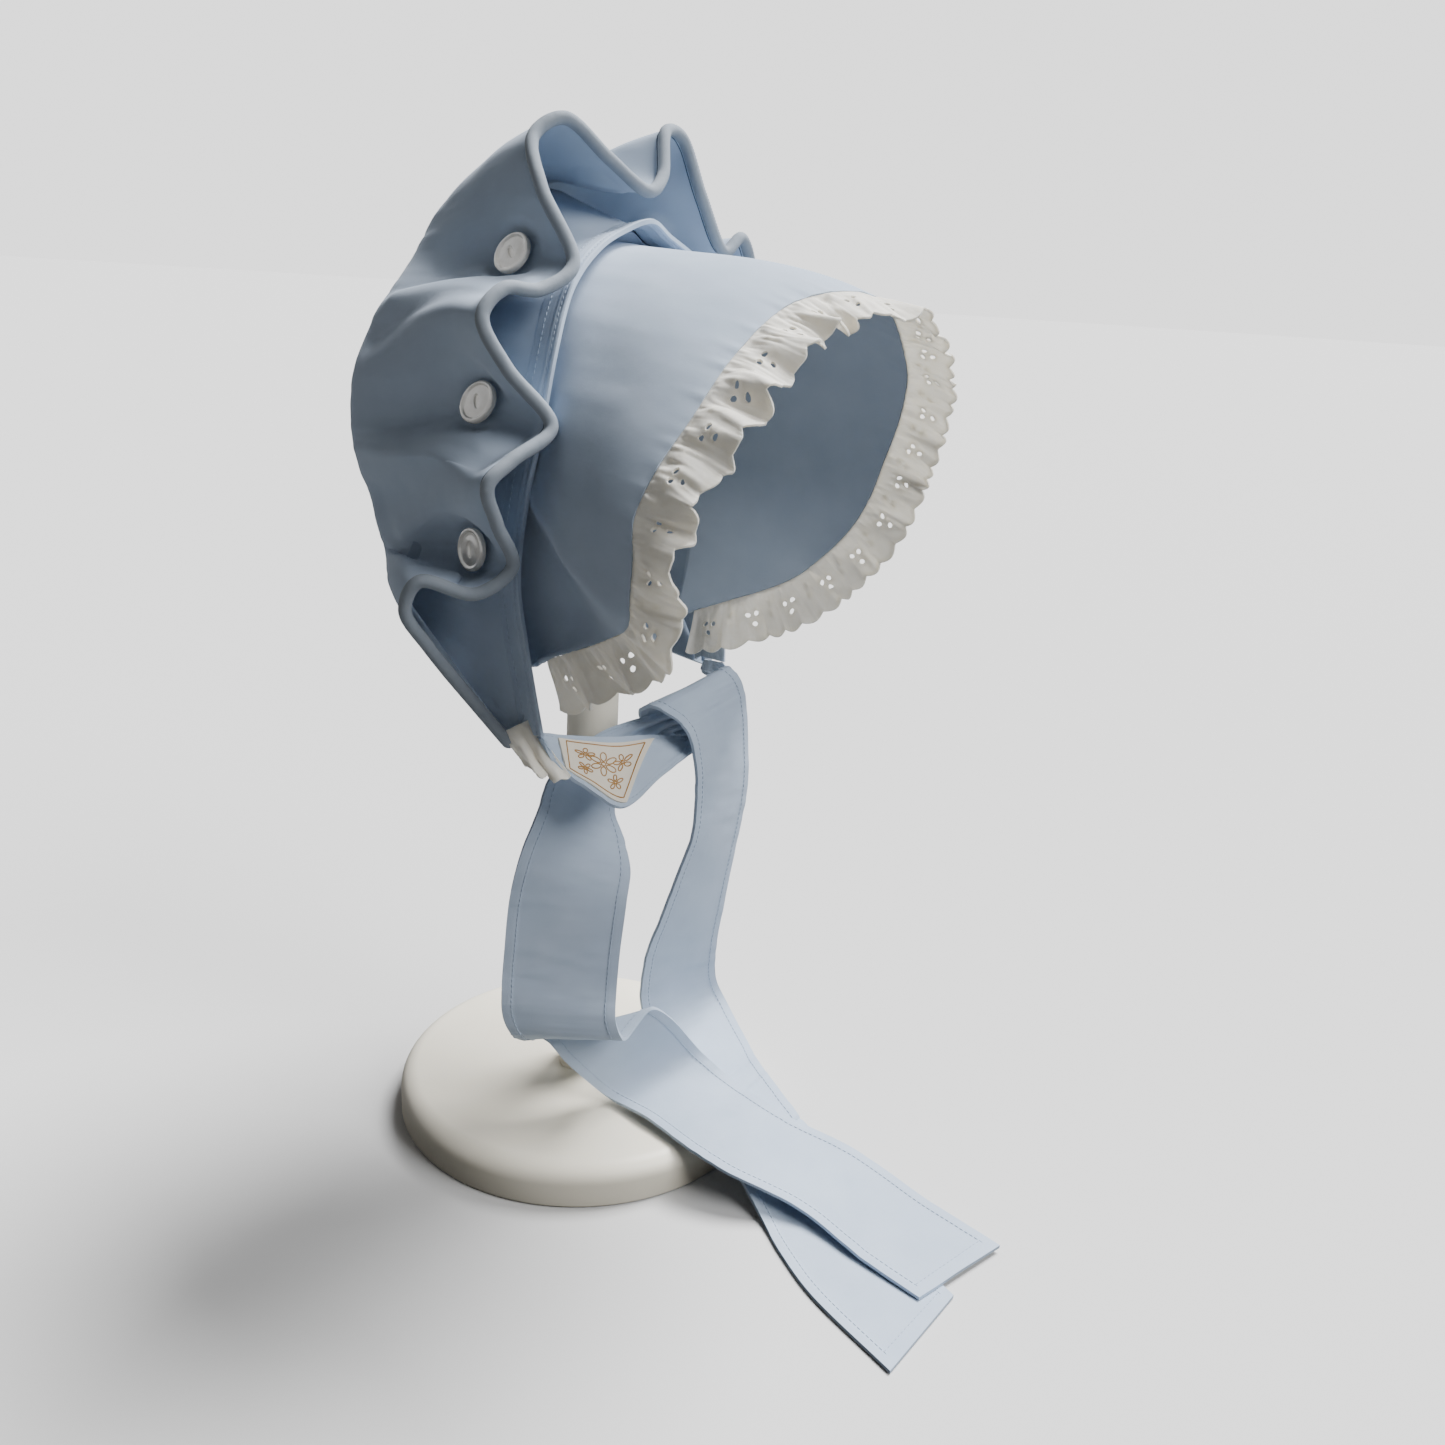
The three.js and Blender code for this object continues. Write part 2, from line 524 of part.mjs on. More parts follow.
const eyelets = [
  { column: 1, row: 1 },
  { column: 3, row: 1 },
  { column: 2, row: 2 },
];
const laceColumns = 5;
const laceRowShares = [0, 0.30, 0.62, 1];
const laceCorners = [];
const laceTriangles = [];
const laceSteps = laceRepeats * laceColumns;
for (let i = 0; i <= laceSteps; i += 1) {
  for (const share of laceRowShares) {
    laceCorners.push(lacePoint(i / laceSteps, share));
  }
}
const seamLength = seamCurve.getLength();
for (let i = 0; i < laceSteps; i += 1) {
  for (let j = 0; j < 3; j += 1) {
    const quad = [i * 4 + j, i * 4 + j + 1, i * 4 + j + 5, i * 4 + j + 4];
    const hole = eyelets.some((eyelet) => eyelet.column === i % laceColumns && eyelet.row === j);
    if (!hole) {
      laceTriangles.push([quad[0], quad[1], quad[2]], [quad[0], quad[2], quad[3]]);
      continue;
    }
    const low = laceRowShares[j];
    const high = laceRowShares[j + 1];
    const outline = [[i, low], [i, high], [i + 1, high], [i + 1, low]];
    const contour = outline.map(([x, y]) => new THREE.Vector2(x / laceSteps * seamLength, y * laceWidth));
    const middle = new THREE.Vector2((i + 0.5) / laceSteps * seamLength, (low + high) / 2 * laceWidth);
    const ring = [];
    for (let k = 0; k < 5; k += 1) {
      const turn = k / 5 * Math.PI * 2;
      const x = middle.x + eyeletWidth / 2 * Math.sin(turn);
      const y = middle.y + eyeletLength / 2 * Math.cos(turn);
      ring.push(new THREE.Vector2(x, y));
    }
    const first = laceCorners.length;
    for (const spot of ring) {
      laceCorners.push(lacePoint(spot.x / seamLength, spot.y / laceWidth));
    }
    const names = [...quad, ...ring.map((spot, k) => first + k)];
    for (const [a, b, c] of THREE.ShapeUtils.triangulateShape(contour, [ring])) {
      const flat = [...contour, ...ring];
      const ab = flat[b].clone().sub(flat[a]);
      const ac = flat[c].clone().sub(flat[a]);
      const turned = ab.cross(ac) > 0;
      laceTriangles.push(turned ? [names[a], names[c], names[b]] : [names[a], names[b], names[c]]);
    }
  }
}
addPiece('lace', clothShell(laceCorners, laceTriangles, laceCloth), whiteLace);

// The ties
function tieEdges(middle, heading, slope, wide) {
  const turn = THREE.MathUtils.degToRad(heading);
  const tip = THREE.MathUtils.degToRad(slope);
  const along = new THREE.Vector3(Math.cos(turn) * Math.cos(tip), Math.sin(turn) * Math.cos(tip), Math.sin(tip));
  const half = tieWidth / 2 * wide;
  return [middle.clone().addScaledVector(along, -half), middle.clone().addScaledVector(along, half)];
}

function tieSections(hangs, lies) {
  const hanging = hangs.map((row) => {
    const height = baseThickness + row.hang * (jawHeight - baseThickness);
    const middle = new THREE.Vector3(row.side * headWidth / 2, row.back * crownDepth - bandSetback, height);
    return tieEdges(middle, row.heading, row.slope, row.wide);
  });
  const lying = lies.map((row) => {
    const under = row.step * baseThickness + clearance + tieCloth / 2;
    const height = under + row.layer * (tieCloth + clearance);
    return tieEdges(new THREE.Vector3(row.side * headWidth / 2, -row.reach * baseRadius, height), row.heading, 0, 1);
  });
  return [...hanging, ...lying];
}

function tieSurface(hangs, lies) {
  const sections = tieSections(hangs, lies);
  const left = smooth(sections.map((section) => section[0]));
  const right = smooth(sections.map((section) => section[1]));
  return { count: sections.length - 1, spot: (along, across) => left.getPoint(along).lerp(right.getPoint(along), across) };
}

function addTie(name, surface) {
  const rows = [];
  const steps = surface.count * 2;
  for (let i = 0; i <= steps; i += 1) {
    rows.push([0, 0.5, 1].map((across) => surface.spot(i / steps, across)));
  }
  addPiece(name, gridShell(rows, tieCloth), blueCotton);
}

const nearTie = tieSurface(nearTieHangs, nearTieLies);
addTie('tie_near', nearTie);
addTie('tie_far', tieSurface(farTieHangs, farTieLies));

// A loose gathered end of lace under the near jaw, one row per gather
const laceEndGathers = [
  { side: -0.995, back: -0.005, drop: 0.45, lean: 0.8 },
  { side: -0.955, back: -0.038, drop: 0.75, lean: -0.8 },
  { side: -0.915, back: -0.070, drop: 0.90, lean: 0.8 },
  { side: -0.875, back: -0.102, drop: 1.00, lean: -0.8 },
  { side: -0.835, back: -0.134, drop: 0.85, lean: 0.8 },
];
const laceEndGap = 3;
const laceEndDrop = 15;
const laceEndTop = jawHeight - bandCloth - clearance - laceEndGap;
const laceEndRows = laceEndGathers.map((row) => [0, 0.5, 1].map((way) => {
  const spot = headPoint(row.side, row.back * crownDepth, 0);
  spot.x += row.lean * way;
  spot.y += row.lean * way;
  spot.z = laceEndTop - way * row.drop * laceEndDrop;
  return spot;
}));
addPiece('lace_end', gridShell(laceEndRows, laceCloth), whiteLace);

// The label sewn on the near tie's spread first stretch
const labelCorners = [
  { along: 1.15, across: 0.12 },
  { along: 3.55, across: 0.10 },
  { along: 3.05, across: 0.93 },
  { along: 1.20, across: 0.90 },
];
const labelRows = [];
const labelLift = (tieCloth + labelCloth) / 2 + clearance + 0.5;
for (let i = 0; i <= 8; i += 1) {
  const row = [];
  for (let j = 0; j <= 3; j += 1) {
    const u = i / 8;
    const v = j / 3;
    const [topLeft, topRight, lowRight, lowLeft] = labelCorners;
    const blend = (key) => (1 - v) * ((1 - u) * topLeft[key] + u * topRight[key])
      + v * ((1 - u) * lowLeft[key] + u * lowRight[key]);
    const along = blend('along') / nearTie.count;
    const across = blend('across');
    const spot = nearTie.spot(along, across);
    const ahead = nearTie.spot(along + 0.002, across).sub(spot);
    const over = nearTie.spot(along, across + 0.02).sub(spot);
    const face = ahead.cross(over).normalize();
    row.push(spot.addScaledVector(face, -labelLift));
  }
  labelRows.push(row);
}
addPiece('label', gridShell(labelRows, labelCloth), ivorySatin);

// The pearl buttons, each on a shank in a dip of the crown's edge
const buttonRadius = buttonDiameter / 2;
function buttonShape(shank) {
  const rim = shank + buttonThickness;
  const profile = [
    new THREE.Vector2(0, 0),
    new THREE.Vector2(shankDiameter / 2, 0),
    new THREE.Vector2(shankDiameter / 2, shank),
    new THREE.Vector2(buttonRadius, shank + buttonThickness * 0.15),
    new THREE.Vector2(buttonRadius, shank + buttonThickness * 0.85),
    new THREE.Vector2(buttonRadius * 0.82, rim),
    new THREE.Vector2(buttonRadius * 0.70, shank + buttonThickness * 0.70),
    new THREE.Vector2(0, shank + buttonThickness * 0.85),
  ];
  return new THREE.LatheGeometry(profile, 10);
}

// A button faces the way its patch of cloth does, and its shank clears the folds beside it
buttonPlaces.forEach((place, i) => {
  const spot = crownSpot(place.at, place.deep);
  const across = crownSpot(place.at + 0.02, place.deep).sub(crownSpot(place.at - 0.02, place.deep));
  const along = crownSpot(place.at, place.deep + 0.06).sub(crownSpot(place.at, place.deep - 0.06));
  const face = across.cross(along).normalize();
  let seat = 0;
  let shank = 0;
  for (let j = -6; j <= 6; j += 1) {
    for (let k = -3; k <= 3; k += 1) {
      const beside = crownSpot(place.at + j * 0.008, place.deep + k * 0.035).sub(spot);
      const height = beside.dot(face);
      const away = Math.sqrt(beside.lengthSq() - height * height);
      if (away < shankDiameter / 2 + 1.5) {
        seat = Math.max(seat, height);
      }
      if (away < buttonRadius + 1.5) {
        shank = Math.max(shank, height);
      }
    }
  }
  seat += place.seat;
  const mesh = addPiece('button_' + (i + 1), buttonShape(Math.max(shankLength, shank + place.seat - seat)), pearl);
  mesh.position.copy(spot.addScaledVector(face, seat + crownCloth / 2 + clearance));
  mesh.quaternion.setFromUnitVectors(new THREE.Vector3(0, 1, 0), face);
});

export default bonnet;
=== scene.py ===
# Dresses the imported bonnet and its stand: cotton with folds, hems and stitches, gathered eyelet
# lace, pearl buttons, a sewn label and a painted wooden stand. Shapes are worked out in
# millimetres, in the row frame, and become metres when a mesh is made. Places on a cloth are
# shares from 0 to 1 of its length and width.
import math
import bpy
import numpy as np
from mathutils import Matrix, Vector


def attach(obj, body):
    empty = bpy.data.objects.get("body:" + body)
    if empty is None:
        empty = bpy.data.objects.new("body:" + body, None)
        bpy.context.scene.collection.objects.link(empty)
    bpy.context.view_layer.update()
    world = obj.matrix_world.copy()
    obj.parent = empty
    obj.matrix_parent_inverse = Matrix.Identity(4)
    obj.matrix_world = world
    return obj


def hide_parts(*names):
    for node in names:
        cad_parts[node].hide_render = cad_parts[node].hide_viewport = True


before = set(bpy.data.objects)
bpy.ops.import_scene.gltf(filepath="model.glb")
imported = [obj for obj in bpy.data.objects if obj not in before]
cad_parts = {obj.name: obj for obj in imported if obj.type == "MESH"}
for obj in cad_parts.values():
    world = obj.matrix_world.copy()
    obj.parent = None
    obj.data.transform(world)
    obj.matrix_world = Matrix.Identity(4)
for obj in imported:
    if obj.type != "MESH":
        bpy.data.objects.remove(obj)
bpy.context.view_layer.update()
metre = 0.001  # metres in a millimetre
uvUnit = 10.0  # millimetres in a unit of the cloths' UV maps


# ---- Camera: at the photograph's height and angle
view = {
    "heading": -55.0,      # degrees round the stand
    "distance": 740.0,     # from the stand's foot to the lens
    "height": 418.0,
    "pitch": 18.37,
    "turn": -6.02,
    "roll": 3.62,
    "focalPixels": 1300.0,
    "imagePixels": 1445.0,
}


def placeCamera():
    heading, turn, pitch, roll = (math.radians(view[key]) for key in ("heading", "turn", "pitch", "roll"))
    flat = math.sqrt(view["distance"] ** 2 - view["height"] ** 2)
    place = Vector((math.sin(heading) * flat, -math.cos(heading) * flat, view["height"]))
    forward = Vector((-math.sin(heading), math.cos(heading), 0))
    side = Vector((math.cos(heading), math.sin(heading), 0))
    right = side * math.cos(turn) + forward * math.sin(turn)
    ahead = forward * math.cos(turn) - side * math.sin(turn)
    look = ahead * math.cos(pitch) - Vector((0, 0, math.sin(pitch)))
    up = ahead * math.sin(pitch) + Vector((0, 0, math.cos(pitch)))
    xAxis = right * math.cos(roll) + up * math.sin(roll)
    yAxis = up * math.cos(roll) - right * math.sin(roll)
    data = bpy.data.cameras.new("photoCamera")
    data.sensor_width = 36
    data.lens = view["focalPixels"] / view["imagePixels"] * data.sensor_width
    data.clip_start = 0.02
    data.clip_end = 60
    camera = bpy.data.objects.new("photoCamera", data)
    bpy.context.scene.collection.objects.link(camera)
    turned = Matrix((xAxis, yAxis, -look)).transposed().to_4x4()
    camera.matrix_world = Matrix.Translation(place * metre) @ turned
    bpy.context.scene.camera = camera


placeCamera()
print("camera placed")

# ---- The bonnet's own sizes, as the part has them
head = {"width": 170.0, "height": 212.0, "jaw": 232.0, "depth": 105.0, "setback": 25.0, "brim": 95.0}


def headPoint(side, behind, rise):
    side, behind, rise = np.broadcast_arrays(*(np.asarray(v, float) for v in (side, behind, rise)))
    height = head["jaw"] + rise * head["height"]
    return np.stack([side * head["width"] / 2, behind - head["setback"], height], -1)


# A smooth line through rows of (side, back, rise): shares of half the width, a depth and the height
def headLine(rows, depth=head["depth"]):
    rows = np.array(rows)
    return SmoothLine(headPoint(rows[:, 0], rows[:, 1] * depth, rows[:, 2]))


# Rows from the far jaw to the middle of the head, mirrored to run from the near jaw to the far one
def bothSides(rows):
    near = [(-row[0],) + tuple(row[1:]) for row in rows]
    return near + [tuple(row) for row in rows[:-1]][::-1]


# ---- Curves through points, sampled by number or evenly by length
def spotOn(points, t):
    last = len(points) - 1
    place = np.clip(np.atleast_1d(np.asarray(t, float)), 0, 1) * last
    row = np.minimum(place.astype(int), last - 1)
    weight = (place - row)[:, None]
    padded = np.vstack([2 * points[:1] - points[1:2], points, 2 * points[-1:] - points[-2:-1]])
    a, b, c, d = (padded[row + k] for k in range(4))
    ab, bc, cd = (np.sqrt(np.linalg.norm(q - p, axis=1))[:, None] for p, q in ((a, b), (b, c), (c, d)))
    start = ((b - a) / ab - (c - a) / (ab + bc) + (c - b) / bc) * bc
    end = ((c - b) / bc - (d - b) / (bc + cd) + (d - c) / cd) * bc
    bend = -3 * b + 3 * c - 2 * start - end
    twist = 2 * b - 2 * c + start + end
    return b + weight * (start + weight * (bend + weight * twist))


def lengthsAlong(path):
    return np.concatenate([[0], np.cumsum(np.linalg.norm(np.diff(path, axis=0), axis=1))])


class SmoothLine:
    def __init__(self, points):
        self.points = np.array(points, float)
        self.steps = np.linspace(0, 1, 601)
        along = lengthsAlong(spotOn(self.points, self.steps))
        self.length = along[-1]
        self.shares = along / along[-1]

    def numberAt(self, share):
        return np.interp(np.atleast_1d(share), self.shares, self.steps)

    def even(self, share):
        return spotOn(self.points, self.numberAt(share))

    def tangent(self, share):
        share = np.atleast_1d(np.asarray(share, float))
        step = self.even(np.minimum(share + 1e-4, 1)) - self.even(np.maximum(share - 1e-4, 0))
        return unit(step)


def unit(vectors):
    return vectors / np.maximum(np.linalg.norm(vectors, axis=-1, keepdims=True), 1e-9)


def spotsAt(places, known, spots):
    return np.stack([np.interp(places, known, spots[:, k]) for k in range(3)], 1)


def eased(value, low, high):
    share = np.clip((np.asarray(value, float) - low) / (high - low), 0, 1)
    return share * share * (3 - 2 * share)


def mix(a, b, share):
    return a + (b - a) * share


# A soft random field between -1 and 1 with a lump to each unit, the same on every run
def lumps(across, along, seed):
    across, along = np.broadcast_arrays(np.asarray(across, float), np.asarray(along, float))
    lattice = np.random.default_rng(seed).uniform(-1, 1, (64, 64))
    low = np.floor(across).astype(int), np.floor(along).astype(int)
    x, y = across - low[0], along - low[1]
    x, y = x * x * x * (x * (6 * x - 15) + 10), y * y * y * (y * (6 * y - 15) + 10)
    corner = [lattice[(low[0] + i) % 64, (low[1] + j) % 64] for i in (0, 1) for j in (0, 1)]
    return mix(mix(corner[0], corner[1], y), mix(corner[2], corner[3], y), x)


# Unevenness from a row in a piece's dictionary: height, lumps to its length, lumps to its width, seed
def uneven(row, long, wide, seed=0):
    height, longLumps, wideLumps, firstSeed = row
    return height * lumps(long * longLumps, wide * wideLumps, firstSeed + seed)


# A soft crease along a line of places given as shares of a cloth that is (length, width) in size
def crease(along, across, size, line, wide):
    place = np.stack([along, across], -1) * size
    corners = np.array(line) * size
    nearest = np.full(along.shape, 1e9)
    for low, high in zip(corners[:-1], corners[1:]):
        share = np.clip(((place - low) @ (high - low)) / ((high - low) @ (high - low)), 0, 1)
        nearest = np.minimum(nearest, np.linalg.norm(place - low - share[..., None] * (high - low), axis=-1))
    return np.exp(-(nearest / wide) ** 2)


# ---- Meshes
def makeMesh(name, points, faces, uv=None):
    used, compact = np.unique(faces, return_inverse=True)
    faces = compact.reshape(faces.shape)
    points = points[used]
    mesh = bpy.data.meshes.new(name)
    mesh.vertices.add(len(points))
    mesh.vertices.foreach_set("co", (points * metre).astype(np.float32).ravel())
    mesh.loops.add(faces.size)
    mesh.loops.foreach_set("vertex_index", faces.astype(np.int32).ravel())
    mesh.polygons.add(len(faces))
    mesh.polygons.foreach_set("loop_start", np.arange(0, faces.size, faces.shape[1], dtype=np.int32))
    mesh.update(calc_edges=True)
    if uv is not None:
        layer = mesh.uv_layers.new(name="cloth")
        layer.data.foreach_set("uv", uv[used][faces.ravel()].astype(np.float32).ravel())
    mesh.polygons.foreach_set("use_smooth", np.ones(len(faces), dtype=bool))
    piece = bpy.data.objects.new(name, mesh)
    bpy.context.scene.collection.objects.link(piece)
    return piece


def finishPiece(piece, material, nodes=(), sharp=None):
    if sharp:
        bpy.ops.object.select_all(action="DESELECT")
        bpy.context.view_layer.objects.active = piece
        piece.select_set(True)
        bpy.ops.object.shade_smooth_by_angle(angle=math.radians(sharp))
        piece.select_set(False)
    piece.data.materials.clear()
    piece.data.materials.append(material)
    if nodes:
        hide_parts(*nodes)
    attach(piece, "root")


def editing(wanted):
    bpy.ops.object.mode_set(mode="EDIT" if wanted else "OBJECT")


# Picks the edges or faces at the upper (1) or lower (-1) end of a disc, and stays in edit mode
def pickEnd(disc, kind, sign, half):
    editing(True)
    bpy.ops.mesh.select_mode(type=kind)
    bpy.ops.mesh.select_all(action="DESELECT")
    editing(False)
    for part in disc.data.edges if kind == "EDGE" else disc.data.polygons:
        part.select = all(disc.data.vertices[k].co.z * sign > half - 1e-6 for k in part.vertices)
    editing(True)


# A disc with rounded edges; each rounding is (size, segments), the upper one first
def roundedDisc(facets, radius, low, high, roundings):
    bpy.ops.object.select_all(action="DESELECT")
    depth = (high - low) * metre
    bpy.ops.mesh.primitive_cylinder_add(vertices=facets, radius=radius * metre, depth=depth,
                                        location=(0, 0, (low + high) / 2 * metre))
    disc = bpy.context.object
    for sign, (size, segments) in zip((1, -1), roundings):
        pickEnd(disc, "EDGE", sign, depth / 2)
        bpy.ops.mesh.bevel(offset=size * metre, segments=segments, affect="EDGES")
        editing(False)
    bpy.ops.object.transform_apply(location=True, rotation=False, scale=False)
    return disc


def gridFaces(rows, columns):
    i, j = np.meshgrid(np.arange(rows - 1), np.arange(columns - 1), indexing="ij")
    first = (i * columns + j).ravel()
    return np.stack([first, first + 1, first + columns + 1, first + columns], 1)


def faceNormals(points, faces):
    corners = points[faces]
    normal = np.cross(corners[:, 2] - corners[:, 0], corners[:, 3] - corners[:, 1])
    summed = np.zeros_like(points)
    for k in range(4):
        np.add.at(summed, faces[:, k], normal)
    return unit(summed)


def gridNormals(grid):
    flat = grid.reshape(-1, 3)
    return faceNormals(flat, gridFaces(*grid.shape[:2])).reshape(grid.shape)


def pushed(grid, field):
    return grid + gridNormals(grid) * field[..., None]


# Real lengths over the cloth, so that weave and stitches keep their scale
def clothLengths(grid):
    along = np.linalg.norm(np.diff(grid, axis=0), axis=2).mean(1)
    across = np.linalg.norm(np.diff(grid, axis=1), axis=2).mean(0)
    u, v = np.concatenate([[0], np.cumsum(along)]), np.concatenate([[0], np.cumsum(across)])
    return np.stack(np.meshgrid(u, v, indexing="ij"), -1)


# A closed cloth wall round a grid of points: each free edge, holes too, gets its side
def clothWall(name, grid, thickness, keep=None, weld=None):
    flat = grid.reshape(-1, 3)
    faces = gridFaces(*grid.shape[:2])
    if keep is not None:
        faces = faces[keep.ravel()]
    if weld is not None:
        faces = weld[faces]
        flat = flat[weld]
    normals = faceNormals(flat, faces)
    half = np.broadcast_to(np.asarray(thickness, float), grid.shape[:2]).reshape(-1, 1) / 2
    count = len(flat)
    edges = np.concatenate([faces[:, [k, (k + 1) % 4]] for k in range(4)])
    keys = edges[:, 0] * count + edges[:, 1]
    free = edges[~np.isin(keys, edges[:, 1] * count + edges[:, 0])]
    walls = np.stack([free[:, 0], free[:, 0] + count, free[:, 1] + count, free[:, 1]], 1)
    allFaces = np.concatenate([faces, faces[:, ::-1] + count, walls])
    allPoints = np.concatenate([flat + normals * half, flat - normals * half])
    uv = clothLengths(grid).reshape(-1, 2) / uvUnit
    return makeMesh(name, allPoints, allFaces, np.concatenate([uv, uv]))


def clothPiece(name, node, grid, thickness, material, slotName="blue_cotton", sharp=60, **edges):
    finishPiece(clothWall(name, grid, thickness, **edges), material, [node], sharp=sharp)


# Shares from 0 to 1 along and across a cloth
def clothShares(rows, columns):
    return np.meshgrid(np.linspace(0, 1, rows + 1), np.linspace(0, 1, columns + 1), indexing="ij")


def tubeShape(path, radius, sides):
    ahead = unit(np.gradient(path, axis=0))
    normal = np.zeros_like(path)
    guide = np.cross(ahead[0], [0, 0, 1.0])
    normal[0] = unit(guide if np.linalg.norm(guide) > 0.1 else np.cross(ahead[0], [1.0, 0, 0]))
    for i in range(1, len(path)):
        normal[i] = unit(normal[i - 1] - ahead[i] * (normal[i - 1] @ ahead[i]))
    binormal = np.cross(ahead, normal)
    turn = np.linspace(0, 2 * math.pi, sides, endpoint=False)
    radius = np.broadcast_to(np.asarray(radius, float), (len(path),))[:, None, None]
    ring = np.cos(turn)[None, :, None] * normal[:, None] + np.sin(turn)[None, :, None] * binormal[:, None]
    points = np.concatenate([(path[:, None] + ring * radius).reshape(-1, 3), path[:1], path[-1:]])
    i, k = np.meshgrid(np.arange(len(path) - 1), np.arange(sides), indexing="ij")
    here, above = i * sides, (i + 1) * sides
    body = np.stack([here + k, here + (k + 1) % sides, above + (k + 1) % sides, above + k], -1).reshape(-1, 4)
    k = np.arange(0, sides, 2)
    start, end, last = len(points) - 2, len(points) - 1, (len(path) - 1) * sides
    startCap = np.stack([np.full(len(k), start), (k + 2) % sides, k + 1, k], 1)
    endCap = np.stack([np.full(len(k), end), last + k, last + k + 1, last + (k + 2) % sides], 1)
    uv = np.stack(np.meshgrid(lengthsAlong(path), turn * radius.mean(), indexing="ij"), -1)
    uv = uv.reshape(-1, 2) / uvUnit
    return points, np.concatenate([body, startCap, endCap]), np.concatenate([uv, uv[:1], uv[-1:]])


# Several tubes in one mesh, for threads
def tubes(name, paths, radius, sides):
    shapes = [tubeShape(path, radius, sides) for path in paths]
    starts = np.cumsum([0] + [len(shape[0]) for shape in shapes])
    faces = [shape[1] + start for shape, start in zip(shapes, starts)]
    return makeMesh(name, np.concatenate([shape[0] for shape in shapes]), np.concatenate(faces))


# ---- Stitches: one small thread loop is modelled once and copied along each seam
thread = {
    "length": 2.0, "thick": 0.42, "pitch": 2.7, "sink": 0.05, "reach": 0.8,
    "lift": 0.2, "bandSamples": 500, "tieSamples": 900, "endSamples": 60, "endClear": 5, "endRow": 0.85,
}


def threadLoop():
    bpy.ops.object.select_all(action="DESELECT")
    bpy.ops.mesh.primitive_uv_sphere_add(segments=6, ring_count=5, radius=1, location=(0, 0, 0))
    ball = bpy.context.object
    editing(True)
    bpy.ops.mesh.select_all(action="SELECT")
    bpy.ops.mesh.tris_convert_to_quads()
    bpy.ops.mesh.quads_convert_to_tris()
    editing(False)
    points = np.array([vertex.co for vertex in ball.data.vertices])
    faces = np.array([list(polygon.vertices) for polygon in ball.data.polygons])
    bpy.data.objects.remove(ball)
    return points[:, [2, 1, 0]] * [1, 1, -1], faces


loopPoints, loopFaces = threadLoop()


def stitchRow(path, normals):
    along = lengthsAlong(path)
    count = max(1, int(along[-1] / thread["pitch"]))
    centre = (np.arange(count) + 0.5) * along[-1] / count
    ahead, behind = (spotsAt(centre + reach, along, path) for reach in (thread["reach"], -thread["reach"]))
    ahead = unit(ahead - behind)
    face = unit(spotsAt(centre, along, normals))
    over = unit(np.cross(face, ahead))
    face = np.cross(ahead, over)
    local = loopPoints * np.array([thread["length"], thread["thick"], thread["thick"]]) / 2
    points = (spotsAt(centre, along, path) + face * thread["sink"])[:, None]
    for k, axis in enumerate((ahead, over, face)):
        points = points + local[None, :, k:k + 1] * axis[:, None]
    faces = loopFaces[None] + (np.arange(count) * len(loopPoints))[:, None, None]
    return points.reshape(-1, 3), faces.reshape(-1, 3)


def sewPiece(name, rows, material):
    points, faces, start = [], [], 0
    for path, normals in rows:
        spots, corners = stitchRow(path, normals)
        points.append(spots)
        faces.append(corners + start)
        start += len(spots)
    finishPiece(makeMesh(name, np.concatenate(points), np.concatenate(faces)), material)


# A line over a grid at fractional rows and columns, lifted off the cloth on the side given
def lineOver(grid, rows, columns, lift):
    normals = gridNormals(grid)
    rows, columns = np.broadcast_arrays(np.asarray(rows, float), np.asarray(columns, float))
    i = np.clip(np.floor(rows).astype(int), 0, grid.shape[0] - 2)
    j = np.clip(np.floor(columns).astype(int), 0, grid.shape[1] - 2)
    x, y = (rows - i)[:, None], (columns - j)[:, None]

    def at(what):
        return mix(mix(what[i, j], what[i, j + 1], y), mix(what[i + 1, j], what[i + 1, j + 1], y), x)

    facing = unit(at(normals)) * np.sign(lift)
    return at(grid) + facing * abs(lift), facing


# ---- Shader node groups
def newGroup(name, inputs, outputs):
    group = bpy.data.node_groups.new(name, "ShaderNodeTree")
    for direction, labels in (("INPUT", inputs), ("OUTPUT", outputs)):
        for label in labels:
            group.interface.new_socket(label, in_out=direction, socket_type="NodeSocketFloat")
    return group, group.nodes.new("NodeGroupInput"), group.nodes.new("NodeGroupOutput")


def mathNode(tree, operation, *values):
    node = tree.nodes.new("ShaderNodeMath")
    node.operation = operation
    for socket, value in zip(node.inputs, values):
        if isinstance(value, (int, float)):
            socket.default_value = value
        else:
            tree.links.new(value, socket)
    return node.outputs[0]


# A weighted sum of two values
def blendValues(tree, first, share, second, otherShare):
    parts = [mathNode(tree, "MULTIPLY", *pair) for pair in ((first, share), (second, otherShare))]
    return mathNode(tree, "ADD", *parts)


def noiseNode(tree, detail, **settings):
    noise = tree.nodes.new("ShaderNodeTexNoise")
    noise.inputs["Detail"].default_value = detail
    for label, value in settings.items():
        noise.inputs[label].default_value = value
    return noise


